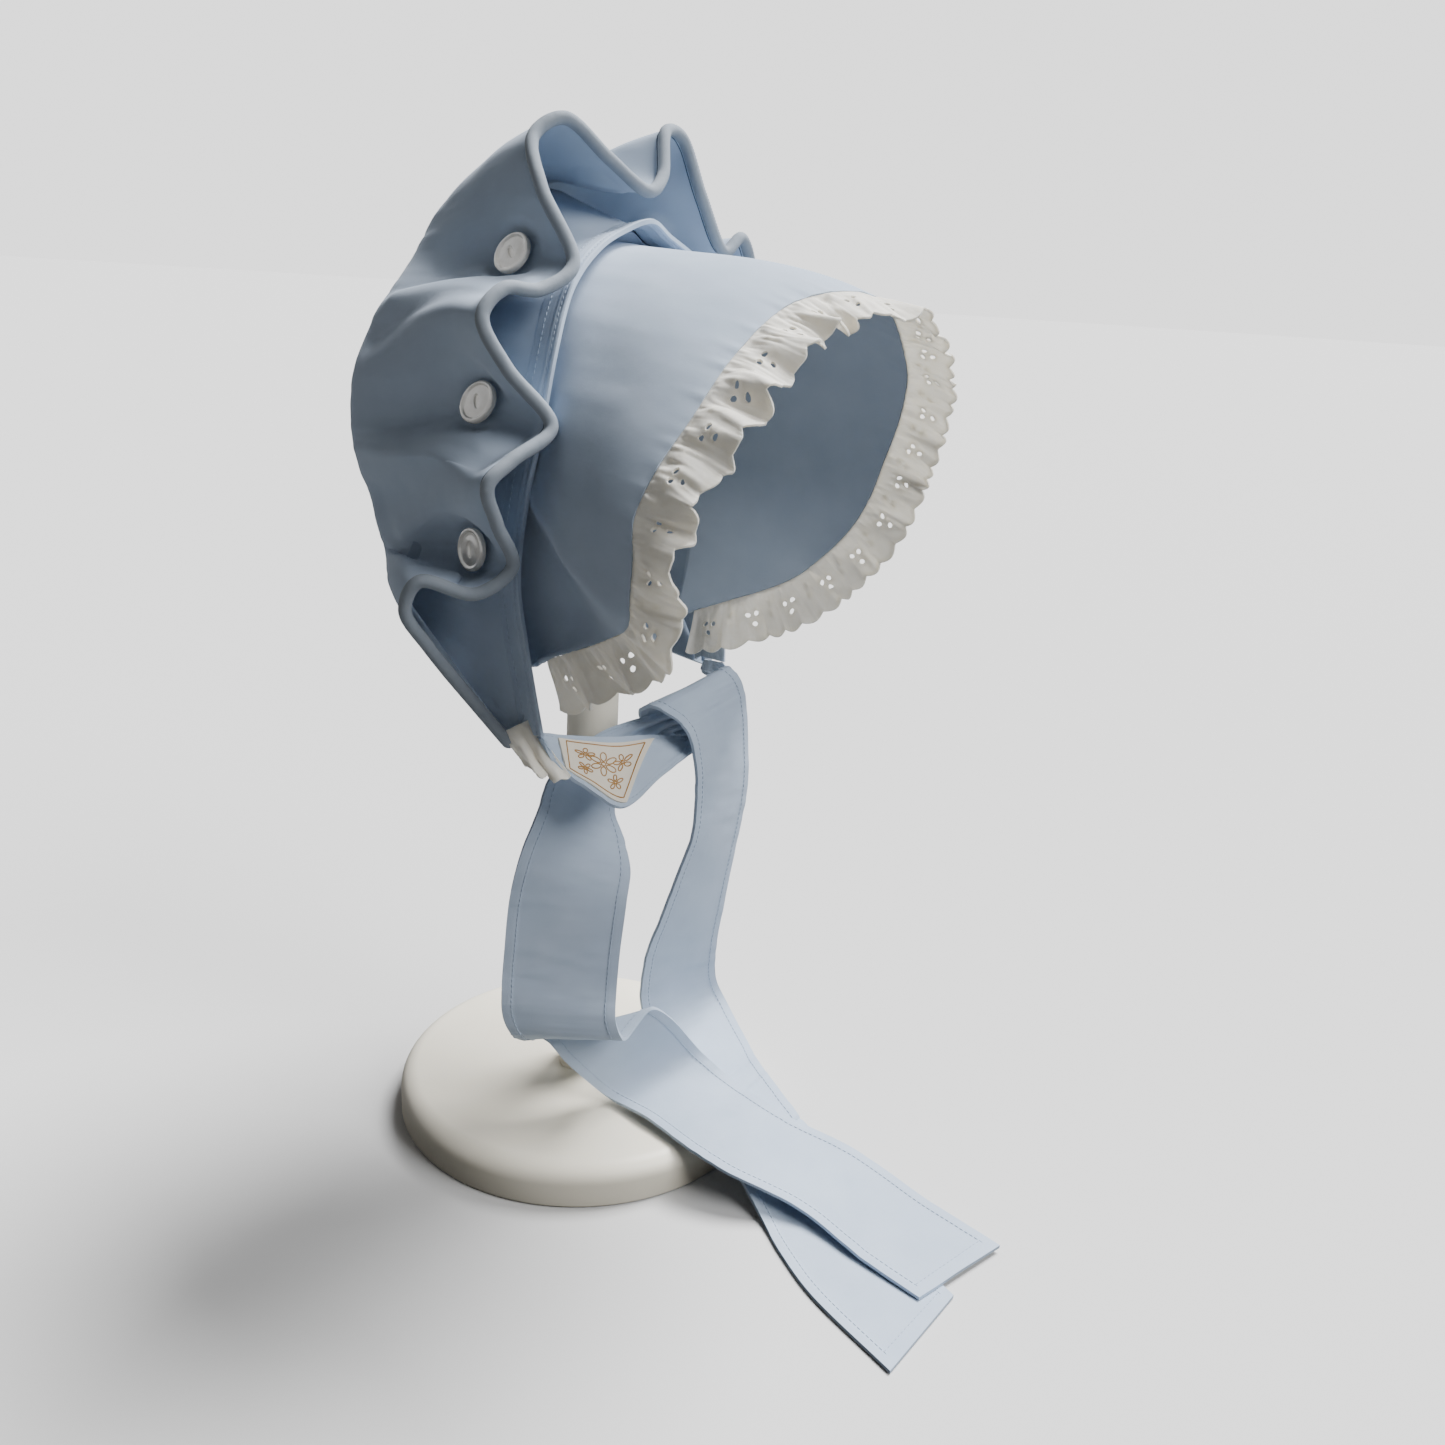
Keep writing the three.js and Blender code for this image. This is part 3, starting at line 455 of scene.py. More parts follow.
# Over-and-under threads on the cloth's own lengths, in centimetres
def makeWeaveGroup():
    group, given, result = newGroup("plainWeave", ["Threads", "Slub"], ["Height", "Tone"])
    coords = group.nodes.new("ShaderNodeTexCoord")
    apart = group.nodes.new("ShaderNodeSeparateXYZ")
    group.links.new(coords.outputs["UV"], apart.inputs[0])
    waves = []
    for axis in ("X", "Y"):
        turns = mathNode(group, "MULTIPLY", apart.outputs[axis], given.outputs["Threads"])
        waves.append(mathNode(group, "SINE", mathNode(group, "MULTIPLY", turns, 2 * math.pi)))
    crossed = mathNode(group, "MULTIPLY", waves[0], waves[1])
    slub = noiseNode(group, 3, Scale=1)
    stretch = group.nodes.new("ShaderNodeMapping")
    stretch.inputs["Scale"].default_value = (14, 2.2, 1)
    group.links.new(coords.outputs["UV"], stretch.inputs["Vector"])
    group.links.new(stretch.outputs[0], slub.inputs["Vector"])
    slubs = mathNode(group, "SUBTRACT", slub.outputs["Fac"], 0.5)
    height = blendValues(group, crossed, 0.5, slubs, given.outputs["Slub"])
    tone = mathNode(group, "MULTIPLY_ADD", height, 0.5, 0.5)
    group.links.new(height, result.inputs["Height"])
    group.links.new(tone, result.inputs["Tone"])
    return group


# Slow creasing and small rumples, in metres on Object coordinates
def makeRumpleGroup():
    group, given, result = newGroup("rumples", ["Scale", "Fine"], ["Height", "Mottle"])
    coords = group.nodes.new("ShaderNodeTexCoord")
    outputs = []
    for label, detail in (("Scale", 2.0), ("Fine", 3.0)):
        noise = noiseNode(group, detail, Roughness=0.55)
        group.links.new(coords.outputs["Object"], noise.inputs["Vector"])
        group.links.new(given.outputs[label], noise.inputs["Scale"])
        outputs.append(noise.outputs["Fac"])
    height = mathNode(group, "ADD", outputs[0], mathNode(group, "MULTIPLY", outputs[1], 0.12))
    group.links.new(height, result.inputs["Height"])
    group.links.new(outputs[0], result.inputs["Mottle"])
    return group


weaveDeep = 0.00008
weaveGroup = makeWeaveGroup()
rumpleGroup = makeRumpleGroup()


def placeGroup(tree, group, **values):
    node = tree.nodes.new("ShaderNodeGroup")
    node.node_tree = group
    for label, value in values.items():
        node.inputs[label].default_value = value
    return node


def newMaterial(name, **settings):
    material = bpy.data.materials.new(name)
    material.use_nodes = True
    tree = material.node_tree
    shader = tree.nodes["Principled BSDF"]
    for label, value in settings.items():
        shader.inputs[label.replace("_", " ")].default_value = value
    return material, tree, shader


def blendColours(tree, factor, low, high, span):
    ramp = tree.nodes.new("ShaderNodeValToRGB")
    ramp.color_ramp.elements[0].position, ramp.color_ramp.elements[1].position = span
    ramp.color_ramp.elements[0].color = (*low, 1)
    ramp.color_ramp.elements[1].color = (*high, 1)
    tree.links.new(factor, ramp.inputs[0])
    return ramp.outputs[0]


def bump(tree, shader, layers):
    below = None
    for height, strength, distance in layers:
        node = tree.nodes.new("ShaderNodeBump")
        node.inputs["Strength"].default_value = strength
        node.inputs["Distance"].default_value = distance
        tree.links.new(height, node.inputs["Height"])
        if below is not None:
            tree.links.new(below, node.inputs["Normal"])
        below = node.outputs[0]
    tree.links.new(below, shader.inputs["Normal"])


# A rumpled surface in two tones: scale and fine are its slow and small rumples to the metre
def rumpled(name, shade, light, scale, fine, rumple, deep, span=(0.3, 0.7), woven=None, **settings):
    material, tree, shader = newMaterial(name, **settings)
    rumples = placeGroup(tree, rumpleGroup, Scale=scale, Fine=fine)
    tone, layers = rumples.outputs["Mottle"], [(rumples.outputs["Height"], rumple, deep)]
    if woven:
        threads, strength = woven
        weave = placeGroup(tree, weaveGroup, Threads=threads, Slub=0.5)
        tone = blendValues(tree, weave.outputs["Tone"], 0.45, tone, 0.55)
        layers.append((weave.outputs["Height"], strength, weaveDeep))
    tree.links.new(blendColours(tree, tone, shade, light, span), shader.inputs["Base Color"])
    bump(tree, shader, layers)
    return material


# One woven cloth: its two thread colours, its threads to the centimetre and how rumpled it is
def wovenCloth(name, shade, light, threads, rumple=0.25, scale=45.0, roughness=0.82, sheen=0.12):
    return rumpled(name, shade, light, scale, 420.0, rumple, 0.0012, woven=(threads, 0.35),
                   Roughness=roughness, Sheen_Weight=sheen, Sheen_Roughness=0.5, Specular_IOR_Level=0.25)


cottonCloth = wovenCloth("blueCotton", (0.39, 0.475, 0.60), (0.455, 0.54, 0.66), 22.0)
cordCloth = wovenCloth("blueCordCloth", (0.225, 0.26, 0.305), (0.275, 0.31, 0.355), 26.0, 0.2, 160.0,
                       sheen=0.06)
# The near-black seamShade is painted shade, for the shadowed corner between the crown and its piping
seamShade = wovenCloth("seamShade", (0.055, 0.075, 0.11), (0.085, 0.11, 0.15), 40.0, 0.1)
threadCloth = wovenCloth("blueThread", (0.35, 0.43, 0.55), (0.42, 0.50, 0.62), 40.0, 0.1, roughness=0.7)
laceCloth = wovenCloth("whiteLace", (0.82, 0.76, 0.64), (0.91, 0.86, 0.75), 26.0, 0.35, 140.0)
satinCloth = wovenCloth("ivorySatin", (0.74, 0.68, 0.57), (0.81, 0.755, 0.645), 36.0, 0.1, roughness=0.5)
goldThread = wovenCloth("goldThread", (0.30, 0.145, 0.03), (0.46, 0.24, 0.055), 60.0, 0.1, roughness=0.45)
paintedWood = rumpled("paintedWood", (0.83, 0.78, 0.65), (0.88, 0.83, 0.70), 22.0, 260.0, 0.12, 0.0006,
                      Roughness=0.42, Coat_Weight=0.12, Coat_Roughness=0.35)
pearl = rumpled("pearl", (0.80, 0.77, 0.69), (0.92, 0.89, 0.82), 230.0, 900.0, 0.06, 0.0003, (0.35, 0.65),
                Roughness=0.18, Coat_Weight=1.0, Coat_Roughness=0.05, Specular_IOR_Level=0.6)
laceShader = laceCloth.node_tree.nodes["Principled BSDF"]
for setting, value in (("Weight", 0.55), ("Radius", (1.0, 0.92, 0.78)), ("Scale", 0.004)):
    laceShader.inputs["Subsurface " + setting].default_value = value
print("materials made")

# ---- The stand: foot, rod and rounded head
stand = {"footRadius": 95.0, "footHigh": 21.0, "facets": 144}
# Columns: name, node, radius, low, high, roundings
standPieces = [
    ("standFoot", "stand_base", stand["footRadius"], 0, stand["footHigh"], ((9.0, 12), (1.5, 4))),
    ("standRod", "stand_post", 12.5, stand["footHigh"], 396.2, ((0.4, 12), (0.4, 4))),
    ("standHead", "stand_top", 46.0, 396.3, 430.3, ((28.0, 12), (3.0, 4))),
]
for name, node, radius, low, high, roundings in standPieces:
    disc = roundedDisc(stand["facets"], radius, low, high, roundings)
    disc.name = name
    finishPiece(disc, paintedWood, [node], sharp=30)
print("stand made")

# ---- The crown, one cloth from its wavy edge round to the seam at the back
# Columns: share round the head, side, back, rise
nearFolds = [
    (0.000, -0.975, 0.086, -0.028), (0.070, -1.294, 0.295, 0.189), (0.098, -1.424, 0.314, 0.269),
    (0.115, -1.424, 0.238, 0.330), (0.128, -1.247, 0.086, 0.307), (0.150, -1.129, -0.010, 0.358),
    (0.187, -1.271, -0.029, 0.448), (0.228, -1.376, -0.057, 0.524), (0.240, -1.271, -0.095, 0.566),
    (0.262, -1.047, -0.133, 0.623), (0.300, -1.165, 0.000, 0.722), (0.335, -1.235, 0.067, 0.807),
    (0.350, -1.118, 0.048, 0.856), (0.365, -0.918, 0.010, 0.858), (0.390, -0.718, -0.019, 0.906),
]
topFolds = [
    (0.420, -0.706, 0.143, 1.038), (0.437, -0.588, 0.257, 1.132), (0.455, -0.424, 0.210, 1.170),
    (0.478, -0.200, 0.124, 1.108), (0.500, 0.012, 0.048, 1.057), (0.520, 0.176, 0.067, 1.090),
    (0.545, 0.353, 0.152, 1.184), (0.565, 0.541, 0.162, 1.179), (0.595, 0.624, 0.086, 1.061),
    (0.620, 0.741, 0.019, 0.958), (0.640, 0.906, 0.010, 0.991), (0.652, 1.094, 0.029, 0.925),
]
# Columns: side, back, rise
backTurns = [
    (0.424, 0.848, 0.123), (0.647, 0.981, 0.264), (0.824, 1.019, 0.439), (0.918, 1.019, 0.580),
    (0.882, 1.000, 0.698), (0.753, 0.962, 0.802), (0.588, 0.914, 0.896), (0.329, 0.867, 1.019),
    (0.000, 0.829, 1.099),
]
crown = {
    "steps": 560, "depths": 72, "spacing": 1.25, "samples": 4001, "cloth": 1.5, "straight": 0.62,
    "seamFoot": 0.125, "seamTop": 0.660, "seamBack": 1.090, "seamFootBack": 0.930, "seamSpread": 1.6,
    "bulge": 1.110, "pullBack": 0.6, "pullIn": 0.72, "pullDown": 0.22, "slip": 0.042,
    "slipSpan": (0.15, 0.75), "calmEnds": (0.03, 0.10), "foldsLast": 1.6, "edgeGap": 2.0,
    "streaks": (0.45, 44, 2.4, 3), "lumps": (0.5, 15, 4, 5), "fine": (0.25, 120, 9, 8),
    "puckers": (0.7, 190, 10, 11), "gathers": (1.1, 30, 3, 13), "lumpShift": 0.2,
    "deepSize": 165.0, "seamGroove": 0.7, "grooveFrom": 3.4,
    "grooveWide": 0.9, "calmSamples": 1601, "calmReach": 150, "calmWide": 62,
    "softRounds": 14, "softFrom": 0.15, "softTo": 0.9,
}
crownDeep = np.linspace(0, 1, crown["depths"] + 1) ** crown["spacing"]
# Columns: height, width, line of (share round the head, share back); the far side has the same ones
crownCreases = [
    (5.0, 14.0, [(0.236, 0.02), (0.212, 0.08), (0.198, 0.22), (0.176, 0.55)]),
    (3.2, 10.0, [(0.315, 0.04), (0.308, 0.25), (0.292, 0.55)]),
    (-2.2, 8.0, [(0.338, 0.06), (0.330, 0.25), (0.320, 0.50)]),
    (-3.0, 9.0, [(0.190, 0.06), (0.178, 0.20), (0.158, 0.45)]),
]
farFolds = [(1 - at, -side, back, rise) for at, side, back, rise in nearFolds[11::-1]]
foldRows = np.array(nearFolds + topFolds + farFolds)
rimLine = headLine(foldRows[:, 1:])
backLine = headLine(bothSides(backTurns))


# A point of the crown's edge at a share of its length, and the share round the head there
def rimAt(share):
    place = np.minimum(rimLine.numberAt(share) * (len(foldRows) - 1), len(foldRows) - 1.000001)
    row = np.floor(place).astype(int)
    return rimLine.even(share), mix(foldRows[row, 0], foldRows[row + 1, 0], place - row)


# The edge with its folds smoothed out: what differs is the folds, and they fade late on the way back
def makeCalmRim():
    point, ats = rimAt(np.linspace(0, 1, crown["calmSamples"]))
    reach = crown["calmReach"]
    weights = np.exp(-0.5 * (np.arange(-reach, reach + 1) / crown["calmWide"]) ** 2)
    before, after = 2 * point[0] - point[reach:0:-1], 2 * point[-1] - point[-2:-reach - 2:-1]
    padded = np.concatenate([before, point, after])
    calm = np.stack([np.convolve(padded[:, k], weights / weights.sum(), mode="valid") for k in range(3)], 1)
    return ats, calm


calmAts, calmPoints = makeCalmRim()


# The folds run back and down: they meet the back outline a little nearer to the jaws
def slipped(at):
    return at - crown["slip"] * np.sin(2 * math.pi * at)


# The crown on its straight way back (0 at the edge, 1 where it starts to bend) with its folds
def foldedBack(edge, at, straight):
    turn, lower = backLine.even(at), backLine.even(slipped(at))
    calm = spotsAt(at, calmAts, calmPoints)
    ends = eased(np.minimum(at, 1 - at), *crown["calmEnds"])[:, None]
    if straight.ndim == 3:
        turn, lower, calm, edge, ends = (part[:, None] for part in (turn, lower, calm, edge, ends))
    turn = mix(turn, lower, eased(straight, *crown["slipSpan"]))
    later = (1 - straight ** crown["foldsLast"]) - (1 - straight)
    return mix(edge, turn, straight) + (edge - calm) * later * ends


def crownGrid(edge, at, deep):
    turn = backLine.even(slipped(at))[:, None]
    straight = np.clip(deep / crown["straight"], 0, 1)[None, :, None]
    flat = foldedBack(edge, at, straight)
    bend = np.clip((deep - crown["straight"]) / (1 - crown["straight"]), 0, 1)[None, :, None]
    half = 1 - np.abs(2 * at - 1)
    rise = mix(crown["seamFoot"], crown["seamTop"], half)
    back = mix(crown["seamFootBack"], crown["seamBack"], np.minimum(1, half * crown["seamSpread"]))
    end = headPoint(0, back * head["depth"], rise)[:, None]
    pull = headPoint(0, mix(back, crown["bulge"], crown["pullBack"]) * head["depth"], 0)[:, None]
    pull[..., 0] = turn[..., 0] * crown["pullIn"]
    pull[..., 2] = mix(turn[..., 2], end[..., 2], crown["pullDown"])
    arch = turn * (1 - bend) ** 2 + 2 * pull * bend * (1 - bend) + end * bend ** 2
    return np.where(bend > 0, arch, flat)


rimShares = np.linspace(0, 1, crown["samples"])
rimAts = rimAt(rimShares)[1]


# The crown's edge at shares round the head
def edgeAt(at):
    return rimAt(np.interp(np.atleast_1d(at), rimAts, rimShares))[0]


def crownSpot(at, deep):
    return crownGrid(edgeAt(at), np.atleast_1d(at), np.atleast_1d(deep))[0, 0]


# Evens out the bend down each row, all but near the front edge and at the back seam
def softened(grid):
    low = crown["softFrom"]
    weight = (eased(crownDeep, low, low + 0.1) * (1 - eased(crownDeep, crown["softTo"], 1)))[None, :, None]
    for _ in range(crown["softRounds"]):
        even = grid.copy()
        even[:, 1:-1] = (grid[:, :-2] + 2 * grid[:, 1:-1] + grid[:, 2:]) / 4
        grid = mix(grid, even, weight)
    return grid


# Columns: share round the head, share back from the edge
buttonPlaces = [
    (0.152, 0.130), (0.264, 0.200), (0.390, 0.215), (0.500, 0.200), (0.610, 0.215), (0.736, 0.200),
    (0.848, 0.130),
]
button = {
    "radius": 9.0, "thick": 3.0, "facets": 48, "seat": 1.2, "shank": 2.0, "shankRadius": 2.0,
    "rounds": ((0.9, 4), (1.1, 4)), "dish": ((0.5, 0), (0.7, -0.75), (1.6, 0.15), (1.4, 0.25), (0.5, 0)),
    "slotFlat": 0.40, "slot": (0.35, -0.8), "edge": 0.12, "spin": (90, 14),
    "pressIn": 9.6, "pressOut": 15.5, "pressNear": 20, "pressFar": 36, "press": 0.92,
}


def buttonSeat(at, deep):
    across = crownSpot(at + 0.02, deep) - crownSpot(at - 0.02, deep)
    along = crownSpot(at, deep + 0.06) - crownSpot(at, deep - 0.06)
    return crownSpot(at, deep), unit(np.cross(across, along))


buttonSeats = [buttonSeat(*place) for place in buttonPlaces]


# A button holds the cloth under it down: what stands higher than its seat is laid flat
def pressed(grid, spot, facing):
    offset = grid - spot
    height = offset @ facing
    away = np.linalg.norm(offset - height[..., None] * facing, axis=-1)
    share = 1 - eased(away, button["pressIn"], button["pressOut"])
    near = 1 - eased(np.linalg.norm(offset, axis=-1), button["pressNear"], button["pressFar"])
    drop = np.maximum(height, 0) * share * near * button["press"]
    return grid - drop[..., None] * facing


def makeCrown():
    steps, columns = crown["steps"], crown["depths"] + 1
    share = np.linspace(0, 1, steps + 1)
    rim, at = rimAt(share)
    at[0], at[-1] = 0, 1  # exact at the jaws
    toBack = unit(backLine.even(at) - rim)
    grid = softened(crownGrid(rim + toBack * crown["edgeGap"], at, crownDeep))
    across, along = np.meshgrid(share, crownDeep, indexing="ij")
    body = eased(along, 0.02, 0.22) * (1 - eased(along, 0.85, 1.0))
    front = np.exp(-along / 0.035) * eased(along, 0.0, 0.012)
    rear = eased(along, 0.62, 0.8) * (1 - eased(along, 0.86, 0.99))
    field = uneven(crown["streaks"], across, along) * body
    field += uneven(crown["lumps"], across + crown["lumpShift"], along) * body
    field += uneven(crown["fine"], across, along) * body
    field += uneven(crown["puckers"], across, along) * front
    field += uneven(crown["gathers"], across, along) * rear
    loose = eased(along, 0.0, 0.06) * (1 - eased(along, 0.55, 0.85))
    size = rimLine.length, crown["deepSize"]
    for height, wide, line in crownCreases:
        for turned in (across, 1 - across):
            field += height * crease(turned, along, size, line, wide) * loose
    grid = pushed(grid, field)
    for spot, facing in buttonSeats:
        grid = pressed(grid, spot, facing)
    # the two halves meet at the back seam, in the middle plane
    seam = (grid[:, -1] + grid[::-1, -1]) / 2
    seam[:, 0] = 0
    grid[:, -1] = seam
    weld = np.arange(grid.shape[0] * columns)
    last = np.arange(steps // 2 + 1)
    weld[(steps - last) * columns + columns - 1] = last * columns + columns - 1
    fromRim = crown["edgeGap"] + along * crown["deepSize"]
    groove = np.exp(-((fromRim - crown["grooveFrom"]) / crown["grooveWide"]) ** 2)
    thick = crown["cloth"] - crown["seamGroove"] * groove
    clothPiece("crownCloth", "crown", grid, thick, cottonCloth, weld=weld)
    return grid


crownCloth = makeCrown()
print("crown made")

# ---- A painted shade line: a thin near-black tube in the corner between the crown and its piping, on both faces, where the corner's shadow falls; it is no thread
seamShadeLine = {"fromRim": 3.5, "lift": 0.42, "radius": 0.30, "samples": 900, "sides": 6}


def makeSeamShadeLine():
    column = np.interp(seamShadeLine["fromRim"] - crown["edgeGap"], crownDeep * crown["deepSize"],
                       np.arange(crown["depths"] + 1))
    rows = np.linspace(1, crown["steps"] - 1, seamShadeLine["samples"])
    paths = [lineOver(crownCloth, rows, column, side * seamShadeLine["lift"])[0] for side in (1, -1)]
    line = tubes("crownSeamShadow", paths, seamShadeLine["radius"], seamShadeLine["sides"])
    finishPiece(line, seamShade)


makeSeamShadeLine()

# ---- The cord-filled piping
piping = {
    "radius": 2.75, "steps": 900, "sides": 14, "endRound": 0.12,
    "cord": (0.02, 260, 1, 21), "pulls": (0.012, 700, 1, 22),
}


def makePiping():
    share = np.linspace(0, 1, piping["steps"] + 1)
    size = piping["radius"] * (1 + uneven(piping["cord"], share, 0.5) + uneven(piping["pulls"], share, 0.5))
    fromEnd = np.minimum(share, 1 - share) * rimLine.length
    rounded = np.sqrt(1 - (1 - np.clip(fromEnd / piping["radius"], piping["endRound"], 1)) ** 2)
    shape = tubeShape(rimLine.even(share), size * rounded, piping["sides"])
    finishPiece(makeMesh("crownPiping", *shape), cordCloth, ["crown_piping"], sharp=60)


makePiping()

# ---- The band from jaw to jaw, and the inner cloth behind it that closes each lobe
# Columns: side, back, rise
bandTurns = [
    (0.918, -0.038, 0.000), (0.976, 0.010, 0.189), (1.000, 0.038, 0.321), (1.012, -0.010, 0.486),
    (0.988, -0.057, 0.613), (0.906, -0.067, 0.755), (0.729, -0.029, 0.863), (0.471, 0.010, 0.934),
    (0.212, 0.029, 0.976), (0.000, 0.010, 1.000),
]
band = {
    "steps": 420, "across": 26, "width": 13.0, "cloth": 1.5, "tilt": 0.16, "rumples": (0.35, 60, 2, 31),
    # Beads: height, share of the width, softness. Stitches: share of the width, lift
    "beads": [(0.9, 0.07, 0.06), (0.72, 0.30, 0.07)], "stitches": [(0.19, 0.85), (0.72, 0.80)],
}


def makeBand():
    front = headLine(bothSides(bandTurns)).even(np.linspace(0, 1, band["steps"] + 1))
    inward = unit((headPoint(0, 0, 0.45) - front) * [1, 0, 0.6])
    rear = front + inward * band["width"] * band["tilt"] + [0, band["width"], 0]
    between = mix(front, rear, 0.5) - inward * 0.4
    across, along = clothShares(band["steps"], band["across"])
    share = along[0][None, :, None]
    grid = np.where(share < 0.5, mix(front[:, None], between[:, None], share * 2),
                    mix(between[:, None], rear[:, None], share * 2 - 1))
    grid = pushed(grid, uneven(band["rumples"], across, along) * eased(along, 0, 0.2))
    beads = sum(height * np.exp(-((along - place) / soft) ** 2) for height, place, soft in band["beads"])
    clothPiece("bandCloth", "band", grid, band["cloth"] + beads, cottonCloth)
    return grid


bandCloth = makeBand()
lining = {
    "rows": 32, "cloth": 1.1, "deep": 0.40, "jawDeep": 0.04, "jawSpan": 0.15, "slack": 2.8, "clear": 0.3,
    "besides": 4, "besideStep": 0.009, "rumples": (0.7, 40, 2, 41), "fine": (0.3, 110, 4, 42),
}


# It reaches back inside the crown's folds, and stays clear of the lowest one near each place
def makeLining():
    across, along = clothShares(band["steps"], lining["rows"])
    share, down = across[:, 0], along[0]
    front = bandCloth[:, -1] + [0, 0.3, 0]
    centre = headPoint(0, 0, 0.5)
    fromJaw = eased(np.minimum(share, 1 - share), 0, lining["jawSpan"])
    straight = (mix(lining["jawDeep"], lining["deep"], fromJaw) / crown["straight"])[:, None]
    back = foldedBack(edgeAt(share), share, straight)
    reach = np.hypot(back[:, 0], back[:, 2] - centre[2])
    nearest = reach.copy()
    for k in range(-lining["besides"], lining["besides"] + 1):
        at = np.clip(share + k * lining["besideStep"] * fromJaw, 0, 1)
        beside = foldedBack(edgeAt(at), at, straight)
        nearest = np.minimum(nearest, np.hypot(beside[:, 0], beside[:, 2] - centre[2]))
    nearest = np.convolve(np.pad(nearest, 4, mode="edge"), np.ones(9) / 9, mode="valid")
    offset = crown["cloth"] / 2 + lining["cloth"] / 2 + lining["clear"] + lining["slack"] * fromJaw
    inside = (nearest - offset) / reach
    back[:, 0] *= inside
    back[:, 2] = centre[2] + (back[:, 2] - centre[2]) * inside
    grid = mix(front[:, None], back[:, None], down[None, :, None])
    field = uneven(lining["rumples"], across, along) + uneven(lining["fine"], across, along)
    grid = pushed(grid, field * np.sin(along * math.pi))
    clothPiece("crownLining", "crown_lining", grid, lining["cloth"], cottonCloth)


makeLining()
print("band and lining made")

# ---- The brim
# Columns: side, ahead, rise
brimBaseTurns = [
    (0.810, -0.230, 0.105), (0.860, -0.200, 0.250), (0.865, -0.190, 0.392), (0.865, -0.190, 0.533),
    (0.830, -0.190, 0.660), (0.730, -0.190, 0.774), (0.565, -0.190, 0.864), (0.306, -0.190, 0.938),
    (0.000, -0.190, 0.955),
]
seamTurns = [
    (-0.915, 0.040, 0.160), (-1.045, 0.442, 0.245), (-1.153, 0.621, 0.297), (-1.200, 0.653, 0.349),
    (-1.224, 0.674, 0.425), (-1.224, 0.674, 0.495), (-1.153, 0.716, 0.571), (-1.000, 0.779, 0.660),
    (-0.729, 0.821, 0.769), (-0.353, 0.874, 0.858), (0.000, 0.989, 0.887), (0.294, 1.042, 0.868),
    (0.706, 0.989, 0.792), (0.941, 0.947, 0.717), (1.082, 0.874, 0.623), (1.153, 0.789, 0.528),
    (1.176, 0.716, 0.434), (1.153, 0.632, 0.358), (1.118, 0.484, 0.278), (1.040, 0.347, 0.222),
    (0.830, -0.160, 0.118),
]
brim = {
    "steps": 380, "across": 62, "cloth": 1.9, "bulge": 0.27,
    "rumples": (0.3, 26, 2.2, 51), "fine": (0.15, 60, 5, 52), "puckers": (0.35, 170, 3, 53),
    "cheekDeep": 11.0, "cheekFrom": 0.128, "cheekSlant": 0.078, "cheekSlope": (-2, 34),
    "cheekLength": (10, 70),
    "sewnFrom": 0.045, "sewnInset": 1.9, "sewnRows": 6, "aheadSize": 75.0,
    # Ridges: height, width, line of (share round the head, share ahead)
    "ridges": [(2.4, 7.0, [(0.206, 0.02), (0.185, 0.27), (0.157, 0.60), (0.128, 1.0)]),
               (1.5, 10.0, [(0.42, 0.06), (0.305, 0.31), (0.22, 0.45), (0.165, 0.60)])],
}
baseLine = headLine(bothSides(brimBaseTurns), -head["brim"])
seamLine = headLine(seamTurns, -head["brim"])


def makeBrim():
    across, along = clothShares(brim["steps"], brim["across"])
    share = across[:, 0]
    base, seam = baseLine.even(share), seamLine.even(share)
    outward = unit((mix(base, seam, 0.5) - headPoint(0, 0, 0.5)) * [1, 0, 1])
    length = np.linalg.norm(seam - base, axis=1)[:, None, None]
    down = along[:1, :, None]
    bulge = down * down * (1 - down) * brim["bulge"] * length
    grid = mix(base[:, None], seam[:, None], down) + outward[:, None] * bulge
    body = np.sin(along * math.pi) ** 0.5
    field = (uneven(brim["rumples"], across, along) + uneven(brim["fine"], across, along)) * body
    field += uneven(brim["puckers"], across, along) * np.exp(-(1 - along) / 0.06)
    loose = 4 * along * (1 - along)
    size = seamLine.length, brim["aheadSize"]
    for height, wide, line in brim["ridges"]:
        field += height * crease(across, along, size, line, wide) * loose ** 0.5
    # the near cheek is hollow below its ridge, where the brim is long enough
    below = (brim["cheekFrom"] + brim["cheekSlant"] * (1 - along) - across) * seamLine.length
    hollow = eased(below, *brim["cheekSlope"]) * eased(length[:, :, 0], *brim["cheekLength"])
    field -= brim["cheekDeep"] * hollow * loose
    grid = pushed(grid, field)
    # the seam allowance turns up behind the opening and is sewn to the band's rear edge
    places = mix(brim["sewnFrom"], 1 - brim["sewnFrom"], share) * band["steps"]
    sewn = spotsAt(places, np.arange(band["steps"] + 1), bandCloth[:, -1])
    sewn = sewn + unit((headPoint(0, 0, 0.45) - sewn) * [1, 0, 1]) * brim["sewnInset"]
    turned = mix(sewn[:, None], grid[:, :1], np.linspace(0, 1, brim["sewnRows"] + 1)[None, :-1, None])
    clothPiece("brimCloth", "brim", np.concatenate([turned, grid], axis=1), brim["cloth"], cottonCloth)


makeBrim()
print("brim made")

# ---- The gathered eyelet lace
lace = {
    "start": 0.006, "width": 25.0, "cloth": 0.55, "clusters": 27, "stepsInCluster": 52, "across": 24,
    "scallops": 62, "scallopDeep": 0.10, "curl": 0.16, "jawWay": np.array([0, 0.12, -1.0]),
    "waves": 21, "wave": 3.3, "wavePhase": (1.6, 18, 1, 62), "crumples": (2.4, 58, 0.9, 61),
    "gathers": (1.1, 150, 1.5, 63), "fine": (0.5, 330, 2.5, 65), "slide": (3.4, 55, 0.8, 64),
    "slideShift": 8.75, "shrink": 0.07, "shrinks": (1, 37, 0.6, 66), "farCalm": 0.55, "farFrom": (0.42, 0.56),
    "eyelet": 1.25, "rim": 0.8, "raised": 0.6, "endClear": 4, "snap": 0.62,
    "edging": 0.30, "ribHigh": 0.25, "ribPitch": 1.3, "gathered": 0.5,
}
